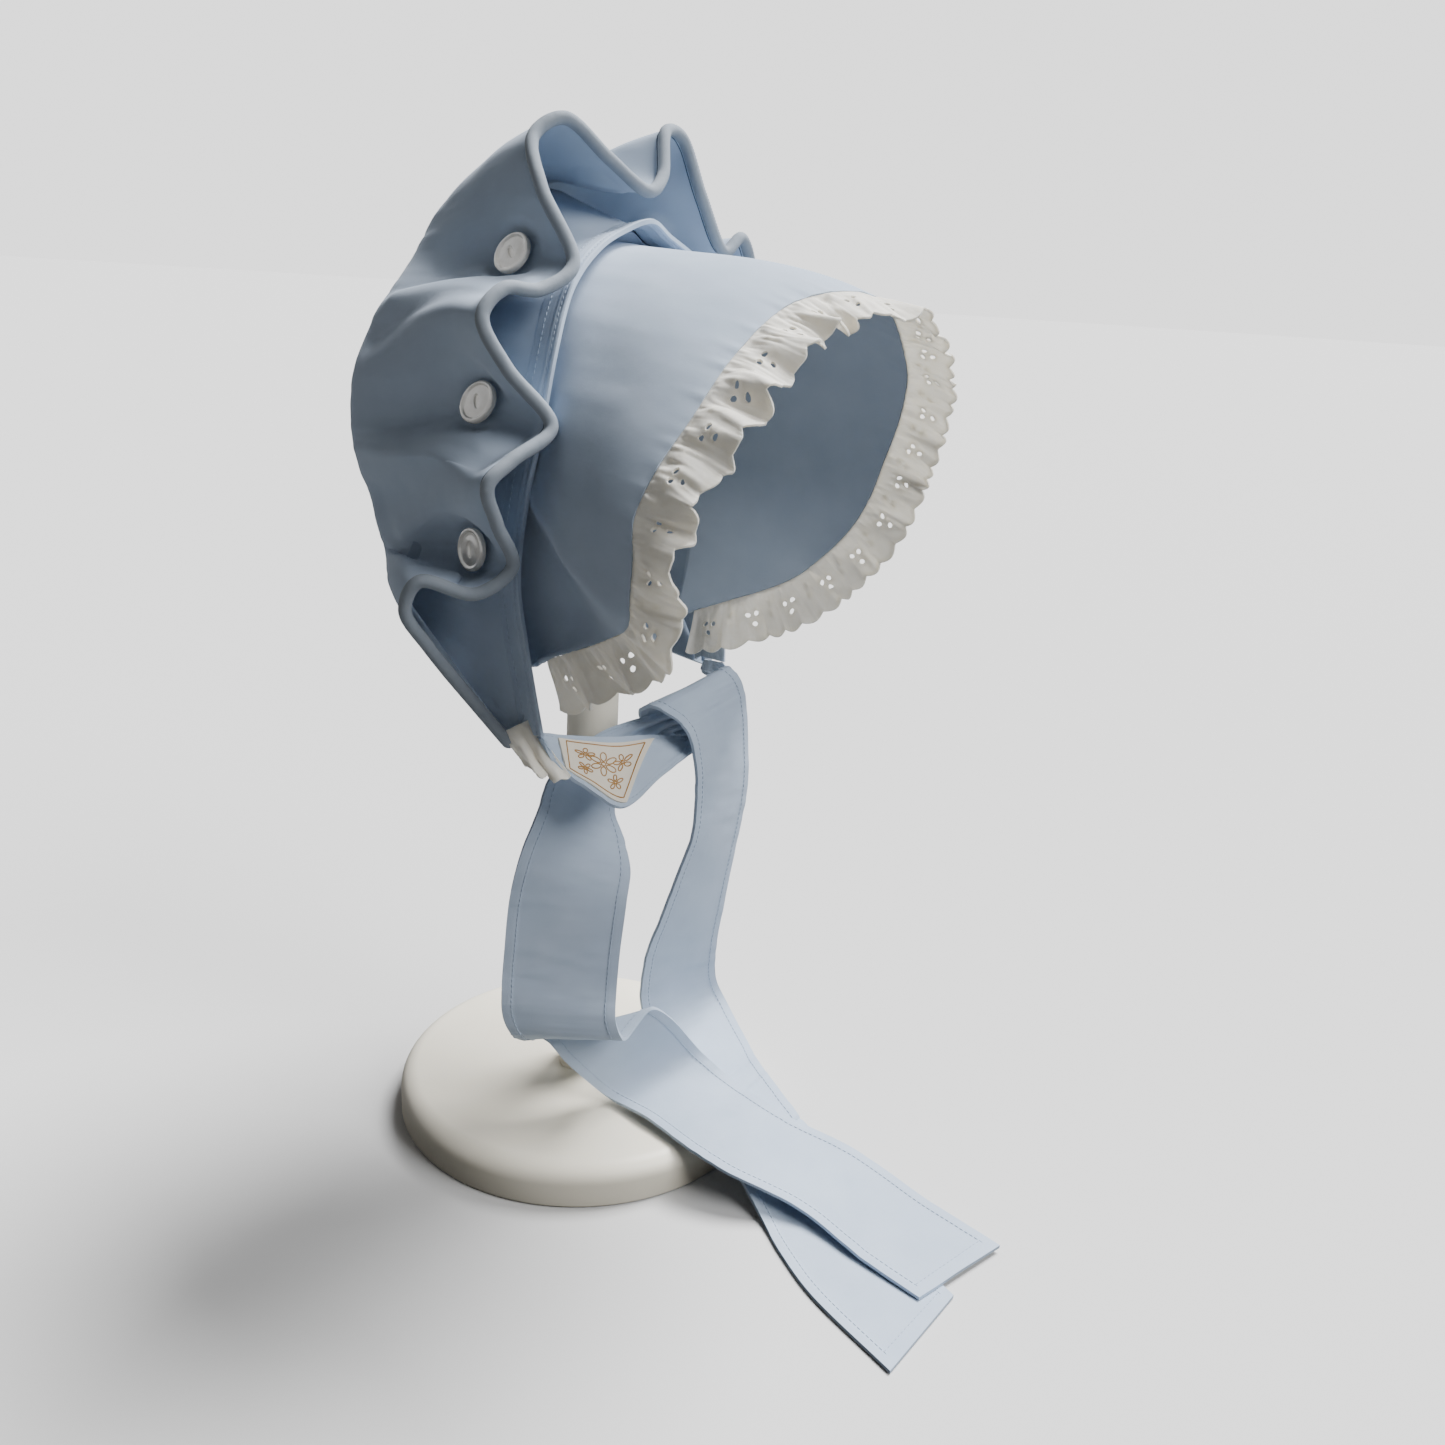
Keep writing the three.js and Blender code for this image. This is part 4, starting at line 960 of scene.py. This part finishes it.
# Columns: share of the cluster's length, share of the lace's width, size
eyelets = [(0.40, 0.42, 1.0), (0.60, 0.42, 1.0), (0.50, 0.62, 1.0), (0.02, 0.50, 0.5), (0.96, 0.30, 0.5)]


# Where the lace is, at shares of its length and of its width
def lacePoint(along, across):
    share = mix(lace["start"], 1 - lace["start"], along)
    seam, base, tangent = seamLine.even(share), baseLine.even(share), seamLine.tangent(share)
    ahead = seam - base
    short = 1 - eased(np.linalg.norm(ahead, axis=1), 0.15 * head["brim"], 0.75 * head["brim"])[:, None]
    ahead = mix(unit(ahead), lace["jawWay"], short)
    square = eased(np.minimum(share, 1 - share), 0.0, 0.10)[:, None]
    ahead = unit(ahead - square * tangent * np.sum(ahead * tangent, axis=1, keepdims=True))
    face = unit(np.cross(tangent, ahead))
    scallop = 1 - lace["scallopDeep"] * (1 - np.abs(np.sin(along * lace["scallops"] * math.pi)))
    # the near side is crumpled, the far side lies calmer
    crumple = mix(1.0, lace["farCalm"], eased(along, *lace["farFrom"]))
    phase = along * lace["waves"] * 2 * math.pi + uneven(lace["wavePhase"], along, 0.3)
    wave = np.sin(phase) * lace["wave"] * across
    wave += uneven(lace["crumples"], along, across) * across ** 0.8
    wave += uneven(lace["gathers"], along, across) * eased(across, 0, 0.12)
    wave += uneven(lace["fine"], along, across) * eased(across, 0, 0.05) * (1 - 0.7 * across)
    slide = uneven(lace["slide"], along, across + lace["slideShift"]) * across
    shrink = 1 - lace["shrink"] * uneven(lace["shrinks"], along, across) ** 2
    rise = crumple * wave + lace["curl"] * lace["width"] * across * across
    reach = 0.1 + across * lace["width"] * scallop * shrink
    return seam + ahead * reach[:, None] + face * rise[:, None] + tangent * (crumple * slide)[:, None]


def makeLace():
    steps = lace["clusters"] * lace["stepsInCluster"]
    length = seamLine.length * (1 - 2 * lace["start"])
    along, across = clothShares(steps, lace["across"])
    flatU, flatV = along * length, across * lace["width"]
    distance = np.full(along.shape, 99.0)
    centreU, centreV, size = (np.zeros_like(along) for _ in range(3))
    cluster = np.floor(along * lace["clusters"])
    for shift in (-1, 0, 1):
        for where, level, scale in eyelets:
            middle = (cluster + shift + where) * length / lace["clusters"]
            radius, level = lace["eyelet"] * scale, level * lace["width"]
            away = np.hypot(flatU - middle, flatV - level) - radius
            away = np.where((middle > lace["endClear"]) & (middle < length - lace["endClear"]), away, 99.0)
            nearer = away < distance
            distance, size = np.where(nearer, away, distance), np.where(nearer, radius, size)
            centreU, centreV = np.where(nearer, middle, centreU), np.where(nearer, level, centreV)
    # corners near a hole's edge move onto it, so that the hole is round
    onEdge = np.abs(distance) < lace["snap"] * np.hypot(length / steps, lace["width"] / lace["across"])
    away = np.maximum(np.hypot(flatU - centreU, flatV - centreV), 1e-6)
    flatU = np.where(onEdge, centreU + (flatU - centreU) / away * size, flatU)
    flatV = np.where(onEdge, centreV + (flatV - centreV) / away * size, flatV)
    distance = np.where(onEdge, 0, distance)
    grid = lacePoint(flatU.ravel() / length, flatV.ravel() / lace["width"]).reshape(along.shape + (3,))
    worst = np.minimum.reduce([distance[:-1, :-1], distance[1:, :-1], distance[:-1, 1:], distance[1:, 1:]])
    ribs = 0.5 + 0.5 * np.cos(flatU * 2 * math.pi / lace["ribPitch"])
    thick = lace["cloth"] + lace["raised"] * np.exp(-np.maximum(distance, 0) / lace["rim"])
    thick += eased(across, 0.90, 0.95) * (lace["edging"] + lace["ribHigh"] * ribs)
    thick += lace["gathered"] * np.exp(-across / 0.03)
    clothPiece("eyeletLace", "lace", grid, thick, laceCloth, "eyelet_lace", sharp=70, keep=worst >= -1e-6)


makeLace()
print("lace made")

# ---- The ties: each hangs from its jaw, passes the knot, and lies over the foot to the floor
tie = {
    "width": 56.0, "cloth": 1.2, "rowsInSection": 22, "across": 40, "layerCloth": 1.4, "gap": 0.3,
    "hem": 5.0, "endHem": 8.0, "hemFold": 0.45, "pleats": 2.5, "pleatDeep": 1.7, "creaseWide": 0.055,
    "floorGap": 0.5, "pleatDrift": (0.12, 0.8, 1, 0), "rumples": (0.55, 1.3, 1.6, 1), "fine": (0.18, 5, 4, 2),
}
# Columns: side, back, height between the foot and the jaw, heading and slope in degrees, spread
nearTieHangs = [
    (-0.908, 0.020, 0.998, -94, 0, 0.20), (-0.800, -0.026, 0.955, -128, -30, 0.34),
    (-0.566, -0.071, 0.907, -145, -30, 0.54), (-0.348, -0.123, 0.867, -144, -31, 0.74),
    (-0.047, -0.172, 0.876, -143, -36, 0.42), (0.220, -0.190, 0.876, -128, -22, 0.20),
    (0.340, -0.155, 0.870, -80, -16, 0.26), (0.388, -0.085, 0.886, -22, 0, 0.56),
    (0.330, -0.066, 0.934, -16, 5, 0.84), (0.282, -0.094, 0.986, -12, 8, 0.97),
    (0.247, -0.171, 1.012, -9, 10, 1), (0.294, -0.229, 0.991, -5, 8, 1),
    (0.372, -0.252, 0.948, -1, 5, 1), (0.440, -0.267, 0.857, 2, -4, 1),
    (0.481, -0.267, 0.738, 1, -11, 1), (0.472, -0.248, 0.618, 3, -14, 1),
    (0.432, -0.181, 0.443, -4, -18, 1), (0.413, -0.124, 0.288, -12, -12, 1),
    (0.455, -0.095, 0.173, -14, -3, 1), (0.530, -0.150, 0.075, -13, 0, 1),
]
farTieHangs = [
    (0.908, 0.020, 0.998, -88, 0, 0.20), (0.900, -0.010, 0.970, -87, 0, 0.36),
    (0.840, -0.110, 0.940, -80, -50, 0.28), (0.620, -0.212, 0.938, -88, -80, 0.22),
    (0.320, -0.205, 0.945, -84, -80, 0.18), (0.080, -0.090, 0.926, -60, -60, 0.20),
    (-0.120, 0.030, 0.862, -30, -50, 0.54), (-0.311, 0.099, 0.785, -19, -33, 0.80),
    (-0.370, 0.068, 0.713, -24, -28, 0.96), (-0.422, 0.063, 0.637, -38, -17, 1),
    (-0.466, 0.078, 0.542, -52, -2, 1), (-0.482, 0.095, 0.417, -54, 0, 1),
    (-0.506, 0.093, 0.324, -55, -1, 1), (-0.552, 0.063, 0.256, -64, 3, 1),
    (-0.538, 0.029, 0.213, -68, 6, 1), (-0.451, 0.038, 0.190, -68, 9, 1),
    (-0.299, -0.015, 0.205, -48, 14, 1), (-0.208, -0.086, 0.157, -40, 20, 1),
    (-0.039, -0.229, 0.047, -30, 11, 1),
]
# Columns: side, reach from the stand's middle, share of the foot's height, layer, heading in degrees
nearTieLies = [
    (0.400, 0.660, 1, 0.6, -11), (0.270, 0.800, 1, 0.1, -9), (0.050, 1.060, 1, 0, -8),
    (-0.024, 1.260, 0.55, 0, -8), (-0.106, 1.440, 0.10, 0, -14), (-0.290, 1.660, 0, 0, -18),
    (-0.471, 1.895, 0, 0, -16), (-0.706, 2.347, 0, 0, -7),
]
farTieLies = [
    (-0.052, 0.750, 1, 2.1, -18), (-0.125, 1.019, 1, 1.3, -11), (-0.119, 1.214, 0.80, 1.2, -6),
    (-0.006, 1.570, 0.27, 1.2, -3), (-0.115, 1.985, 0.08, 1.1, -11), (-0.211, 2.360, 0, 1.3, -20),
]


# A tie as two long edges through its sections
class TieSurface:
    def __init__(self, hangs, lies):
        self.left, self.right, self.wide = [], [], []
        for side, back, hang, heading, slope, wide in hangs:
            height = stand["footHigh"] + hang * (head["jaw"] - stand["footHigh"])
            self.addSection(side, back * head["depth"] - head["setback"], height, heading, slope, wide)
        for side, reach, step, layer, heading in lies:
            under = step * stand["footHigh"] + tie["gap"] + tie["layerCloth"] / 2
            height = under + layer * (tie["layerCloth"] + tie["gap"])
            self.addSection(side, -reach * stand["footRadius"], height, heading, 0, 1)
        self.count = len(self.left) - 1
        self.left, self.right = np.array(self.left), np.array(self.right)

    def addSection(self, side, back, height, heading, slope, wide):
        middle = np.array([side * head["width"] / 2, back, height])
        turn, tip = math.radians(heading), math.radians(slope)
        along = np.array([math.cos(turn) * math.cos(tip), math.sin(turn) * math.cos(tip), math.sin(tip)])
        self.left.append(middle - along * tie["width"] / 2 * wide)
        self.right.append(middle + along * tie["width"] / 2 * wide)
        self.wide.append(wide)

    def spot(self, along, across):
        return mix(spotOn(self.left, along), spotOn(self.right, along), across[:, None])

    def grid(self, rows, columns):
        along, across = clothShares(rows, columns)
        return self.spot(along.ravel(), across.ravel()).reshape(along.shape + (3,))


# The pleats lie calm between the quiet rows; creases are (section along the tie, slant, height)
def makeTie(name, node, surface, seed, quietRows, creases=()):
    rows = surface.count * tie["rowsInSection"]
    grid = surface.grid(rows, tie["across"])
    along, across = clothShares(rows, tie["across"])
    along = along * surface.count
    wide = np.interp(along, np.arange(surface.count + 1), surface.wide)
    first, last = quietRows
    quiet = eased(along, first - 0.6, first) * (1 - eased(along, last, last + 0.6))
    pleats = np.cos(2 * math.pi * (tie["pleats"] * across + uneven(tie["pleatDrift"], along, 0.5, seed)))
    pleats = pleats * np.sin(across * math.pi) ** 0.4 * (1 - 0.85 * quiet)
    field = tie["pleatDeep"] * (1 - wide) ** 1.2 * pleats
    hanging = 1 - eased(grid[..., 2], 22, 28)
    loose = (1 - 0.2 * hanging) * (1 - 0.8 * quiet)
    field += uneven(tie["rumples"], along, across, seed) * loose
    field += uneven(tie["fine"], along, across, seed)
    for place, slant, size in creases:
        field += size * np.exp(-((along - place - slant * (across - 0.5)) / tie["creaseWide"]) ** 2)
    grid = pushed(grid, field)
    grid[..., 2] = np.maximum(grid[..., 2], tie["cloth"] / 2 + tie["floorGap"])
    run = lengthsAlong(surface.grid(rows, 2)[:, 1])
    fromSide = np.minimum(across, 1 - across) * tie["width"] * wide
    fromEnd = (run[-1] - run)[:, None]
    hem = np.maximum(*(1 - eased(away, size - 0.5, size + 0.4)
                       for away, size in ((fromSide, tie["hem"]), (fromEnd, tie["endHem"]))))
    clothPiece(name, node, grid, tie["cloth"] + tie["hemFold"] * hem, cottonCloth)
    return grid, run


nearSurface, farSurface = TieSurface(nearTieHangs, nearTieLies), TieSurface(farTieHangs, farTieLies)
nearGrid, nearRun = makeTie("nearTie", "tie_near", nearSurface, 71, (0.9, 7.4),
                            [(22.62, 0.25, 1.1), (21.6, -0.3, -0.5)])
farGrid, farRun = makeTie("farTie", "tie_far", farSurface, 81, (-1.0, 2.4))
print("ties made, %.0f and %.0f mm long" % (nearRun[-1], farRun[-1]))

# ---- The loose gathered end of lace under the near jaw
# Columns: side, back, drop
laceEndGathers = [
    (-0.995, -0.005, 0.45), (-0.955, -0.038, 0.75), (-0.915, -0.070, 0.90), (-0.875, -0.102, 1.00),
    (-0.835, -0.134, 0.85),
]
laceEnd = {
    "rows": 80, "columns": 34, "cloth": 0.8, "drop": 15.0, "top": 226.9, "crumple": 1.0, "caught": 0.009,
    "tucked": 6.5, "sway": (0.8, 1.3, 2, 92), "swing": (1.2, 1.1, 1.5, 93), "rumples": (0.6, 2.2, 3, 91),
}


def makeLaceEnd():
    rows = np.array(laceEndGathers)
    share, way = clothShares(laceEnd["rows"], laceEnd["columns"])
    places = share[:, 0] * (len(rows) - 1)
    side, back, drop = (np.interp(places, np.arange(len(rows)), rows[:, k]) for k in range(3))
    low = headPoint(side, back * head["depth"], 0)
    low[:, 2] = laceEnd["top"] - drop * laceEnd["drop"] * (1 + 0.08 * np.cos(places * 5))
    # it is caught in the seam between the piping's end and the band's
    inBand = bandCloth[0, band["across"] // 2] + [0, 0, laceEnd["tucked"]]
    high = mix(rimLine.even(laceEnd["caught"]), inBand, share[:, :1])
    grid = mix(high[:, None], low[:, None], way[..., None])
    place = places[:, None]
    lean = laceEnd["crumple"] * np.cos(place * math.pi) * np.sin(way * 1.9) ** 0.7
    for axis, row in enumerate((laceEnd["sway"], laceEnd["swing"])):
        grid[..., axis] += lean + uneven(row, place, way) * way
    grid = pushed(grid, uneven(laceEnd["rumples"], place, way) * np.sin(way * 1.9))
    clothPiece("laceEnd", "lace_end", grid, laceEnd["cloth"], laceCloth, "eyelet_lace")


makeLaceEnd()

# ---- The label on the near tie, with a plain border and flowers of its own
label = {
    "cloth": 0.8, "lift": 1.25, "rows": 72, "columns": 44, "inset": 0.07, "borderSteps": 24,
    "threadRound": 0.62, "threadSides": 6, "threadLift": 0.05,
}
# Columns: section along the tie, share across it
labelCorners = [(1.15, 0.12), (3.80, 0.09), (3.08, 0.95), (1.20, 0.90)]
# Columns: share of its width, share of its height, size, petals, turn
flowers = [
    (0.52, 0.45, 0.19, 6, 0.3), (0.27, 0.35, 0.12, 5, 0.9), (0.76, 0.35, 0.12, 5, 1.7),
    (0.30, 0.70, 0.11, 5, 0.1), (0.74, 0.71, 0.11, 5, 0.6),
]


def makeLabel():
    u, v = clothShares(label["rows"], label["columns"])
    a, b, c, d = (np.array(corner) for corner in labelCorners)
    place = mix(mix(a, b, u[..., None]), mix(d, c, u[..., None]), v[..., None])
    along, across = place[..., 0].ravel() / nearSurface.count, place[..., 1].ravel()
    spot, ahead, over = (nearSurface.spot(along + more, across + aside).reshape(u.shape + (3,))
                         for more, aside in ((0, 0), (0.002, 0), (0, 0.02)))
    grid = spot - unit(np.cross(ahead - spot, over - spot)) * label["lift"]
    clothPiece("labelCloth", "label", grid, label["cloth"], satinCloth, "label_satin")
    return grid


labelCloth = makeLabel()


def ringPoints(steps):
    turn = np.linspace(0, 2 * math.pi, steps + 1)[:, None]
    return np.cos(turn), np.sin(turn)


# Strokes of thread laid on the label: each is a list of points in shares of its width and height
def flowerStrokes(x, y, size, petals, turned):
    strokes = []
    cosine, sine = ringPoints(12)
    for k in range(petals):
        turn = turned + 2 * math.pi * k / petals
        tip = np.array([math.cos(turn), math.sin(turn) * 1.25]) * size
        wide = np.array([-math.sin(turn), math.cos(turn) * 1.25]) * size * 0.42
        strokes.append([x, y] + 0.62 * tip + 0.38 * tip * cosine + 0.5 * wide * sine)
    cosine, sine = ringPoints(8)
    strokes.append(np.hstack([x + 0.16 * size * cosine, y + 0.2 * size * sine]))
    return strokes


def makeLabelThread():
    low, high = label["inset"], 1 - label["inset"]
    corners = [(low, low), (high, low), (high, high), (low, high), (low, low)]
    strokes = [np.linspace(start, end, label["borderSteps"]) for start, end in zip(corners, corners[1:])]
    for flower in flowers:
        strokes += flowerStrokes(*flower)
    size, lift = [label["rows"], label["columns"]], label["cloth"] / 2 + label["threadLift"]
    paths = [lineOver(labelCloth, *(stroke * size).T, lift)[0] for stroke in strokes]
    sewn = tubes("labelThread", paths, label["threadRound"] / 2, label["threadSides"])
    finishPiece(sewn, goldThread)


makeLabelThread()
print("label made")


# ---- The pearl buttons: one is turned and cut, and each dip of the edge gets a copy
def makeButton():
    half, radius = button["thick"] / 2, button["radius"]
    disc = roundedDisc(button["facets"], radius, -half, half, button["rounds"])
    pickEnd(disc, "FACE", 1, half * metre)
    for thickness, depth in button["dish"]:
        bpy.ops.mesh.inset(thickness=thickness * metre, depth=depth * metre)
    bpy.ops.transform.resize(value=(1.0, button["slotFlat"], 1.0), center_override=(0, 0, 0))
    bpy.ops.mesh.inset(thickness=button["slot"][0] * metre, depth=button["slot"][1] * metre)
    editing(False)
    pickEnd(disc, "FACE", -1, half * metre)
    rim = radius - button["rounds"][1][0] - button["shankRadius"]
    bpy.ops.mesh.inset(thickness=rim * metre, depth=0)
    bpy.ops.mesh.extrude_region_move(TRANSFORM_OT_translate={"value": (0, 0, -button["shank"] * metre)})
    editing(False)
    rounded = disc.modifiers.new("rounded", "BEVEL")
    rounded.width = button["edge"] * metre
    rounded.segments = 2
    rounded.angle_limit = math.radians(25)
    bpy.ops.object.modifier_apply(modifier="rounded")
    return disc


def placeButtons():
    first = makeButton()
    for number, (spot, facing) in enumerate(buttonSeats, 1):
        xAxis = unit(np.cross([0, 0, 1.0], facing))
        middle = spot + facing * (button["seat"] + button["shank"] + button["thick"] / 2)
        axes = Matrix((Vector(xAxis), Vector(np.cross(facing, xAxis)), Vector(facing))).transposed().to_4x4()
        spin = Matrix.Rotation(math.radians(button["spin"][0] + button["spin"][1] * number), 4, "Z")
        mesh = first.data.copy()
        mesh.transform(Matrix.Translation(Vector(middle) * metre) @ axes @ spin)
        piece = bpy.data.objects.new("pearlButton%d" % number, mesh)
        bpy.context.scene.collection.objects.link(piece)
        finishPiece(piece, pearl, ["button_%d" % number], sharp=35)
    bpy.data.objects.remove(first)


placeButtons()
print("buttons made")


# ---- Stitching along the band and the ties
def makeStitches():
    longWay = np.linspace(0, band["steps"], thread["bandSamples"])
    rows = [lineOver(bandCloth, longWay, share * band["across"], side * lift)
            for share, lift in band["stitches"] for side in (1, -1)]
    sewPiece("bandStitches", rows, threadCloth)
    for name, grid, run in (("nearTieStitches", nearGrid, nearRun), ("farTieStitches", farGrid, farRun)):
        places, wide = np.arange(grid.shape[0]), grid.shape[1] - 1
        hem = tie["hem"] / tie["width"] * wide
        longWay = np.interp(np.linspace(0, run[-1] - thread["endClear"], thread["tieSamples"]), run, places)
        endRow = np.interp(run[-1] - tie["endHem"] * thread["endRow"], run, places)
        endWay = np.linspace(hem, wide - hem, thread["endSamples"])
        rows, high = [], tie["cloth"] / 2 + thread["lift"]
        for lift in (high, -high):
            rows += [lineOver(grid, longWay, column, lift) for column in (hem, wide - hem)]
            rows.append(lineOver(grid, endRow, endWay, lift))
        sewPiece(name, rows, threadCloth)


makeStitches()
print("stitches sewn")


# ---- Floor and soft studio light
studio = {"floorRadius": 60.0, "floorDrop": 0.0002, "paper": 0.62, "paperBounce": 0.08, "fill": 0.035}
# Columns: comes from (side, back, rise), strength, softness in degrees
lights = {
    "overhead": ((0.56, -0.15, 1.0), 9.0, 28.0),
    "front": ((0.05, -1.0, 0.80), 2.7, 32.0),
}


def addFloor():
    bpy.ops.object.select_all(action="DESELECT")
    bpy.ops.mesh.primitive_circle_add(vertices=96, radius=studio["floorRadius"], fill_type="NGON",
                                      location=(0, 0, -studio["floorDrop"]))
    floor = bpy.context.object
    floor.name = "studioFloor"
    material, tree, shader = newMaterial("studioFloorPaper", Roughness=0.9)
    seen, pick = tree.nodes.new("ShaderNodeLightPath"), tree.nodes.new("ShaderNodeMixRGB")
    for socket, grey in ((pick.inputs[1], studio["paperBounce"]), (pick.inputs[2], studio["paper"])):
        socket.default_value = (grey, grey, grey, 1)
    tree.links.new(seen.outputs["Is Camera Ray"], pick.inputs[0])
    tree.links.new(pick.outputs[0], shader.inputs["Base Color"])
    floor.data.materials.append(material)


# The lamps and a dim sky light the bonnet; what the camera sees past the floor is as pale as the floor
def addLights():
    floorLight = 0
    for name, (comesFrom, strength, softness) in lights.items():
        floorLight += strength * Vector(comesFrom).normalized().z
        data = bpy.data.lights.new(name, "SUN")
        data.energy = strength
        data.angle = math.radians(softness)
        lamp = bpy.data.objects.new(name, data)
        bpy.context.scene.collection.objects.link(lamp)
        lamp.rotation_euler = (-Vector(comesFrom)).to_track_quat("-Z", "Y").to_euler()
    world = bpy.data.worlds.new("studio")
    world.use_nodes = True
    tree = world.node_tree
    seen, sky = tree.nodes.new("ShaderNodeLightPath"), tree.nodes["Background"]
    backdrop, pick = tree.nodes.new("ShaderNodeBackground"), tree.nodes.new("ShaderNodeMixShader")
    sky.inputs["Color"].default_value = backdrop.inputs["Color"].default_value = (1.0, 1.0, 1.0, 1)
    sky.inputs["Strength"].default_value = studio["fill"]
    backdrop.inputs["Strength"].default_value = studio["paper"] * (floorLight / math.pi + studio["fill"])
    pale = mathNode(tree, "MAXIMUM", seen.outputs["Is Camera Ray"], seen.outputs["Is Glossy Ray"])
    tree.links.new(pale, pick.inputs[0])
    tree.links.new(sky.outputs[0], pick.inputs[1])
    tree.links.new(backdrop.outputs[0], pick.inputs[2])
    tree.links.new(pick.outputs[0], tree.nodes["World Output"].inputs["Surface"])
    bpy.context.scene.world = world


addFloor()
addLights()
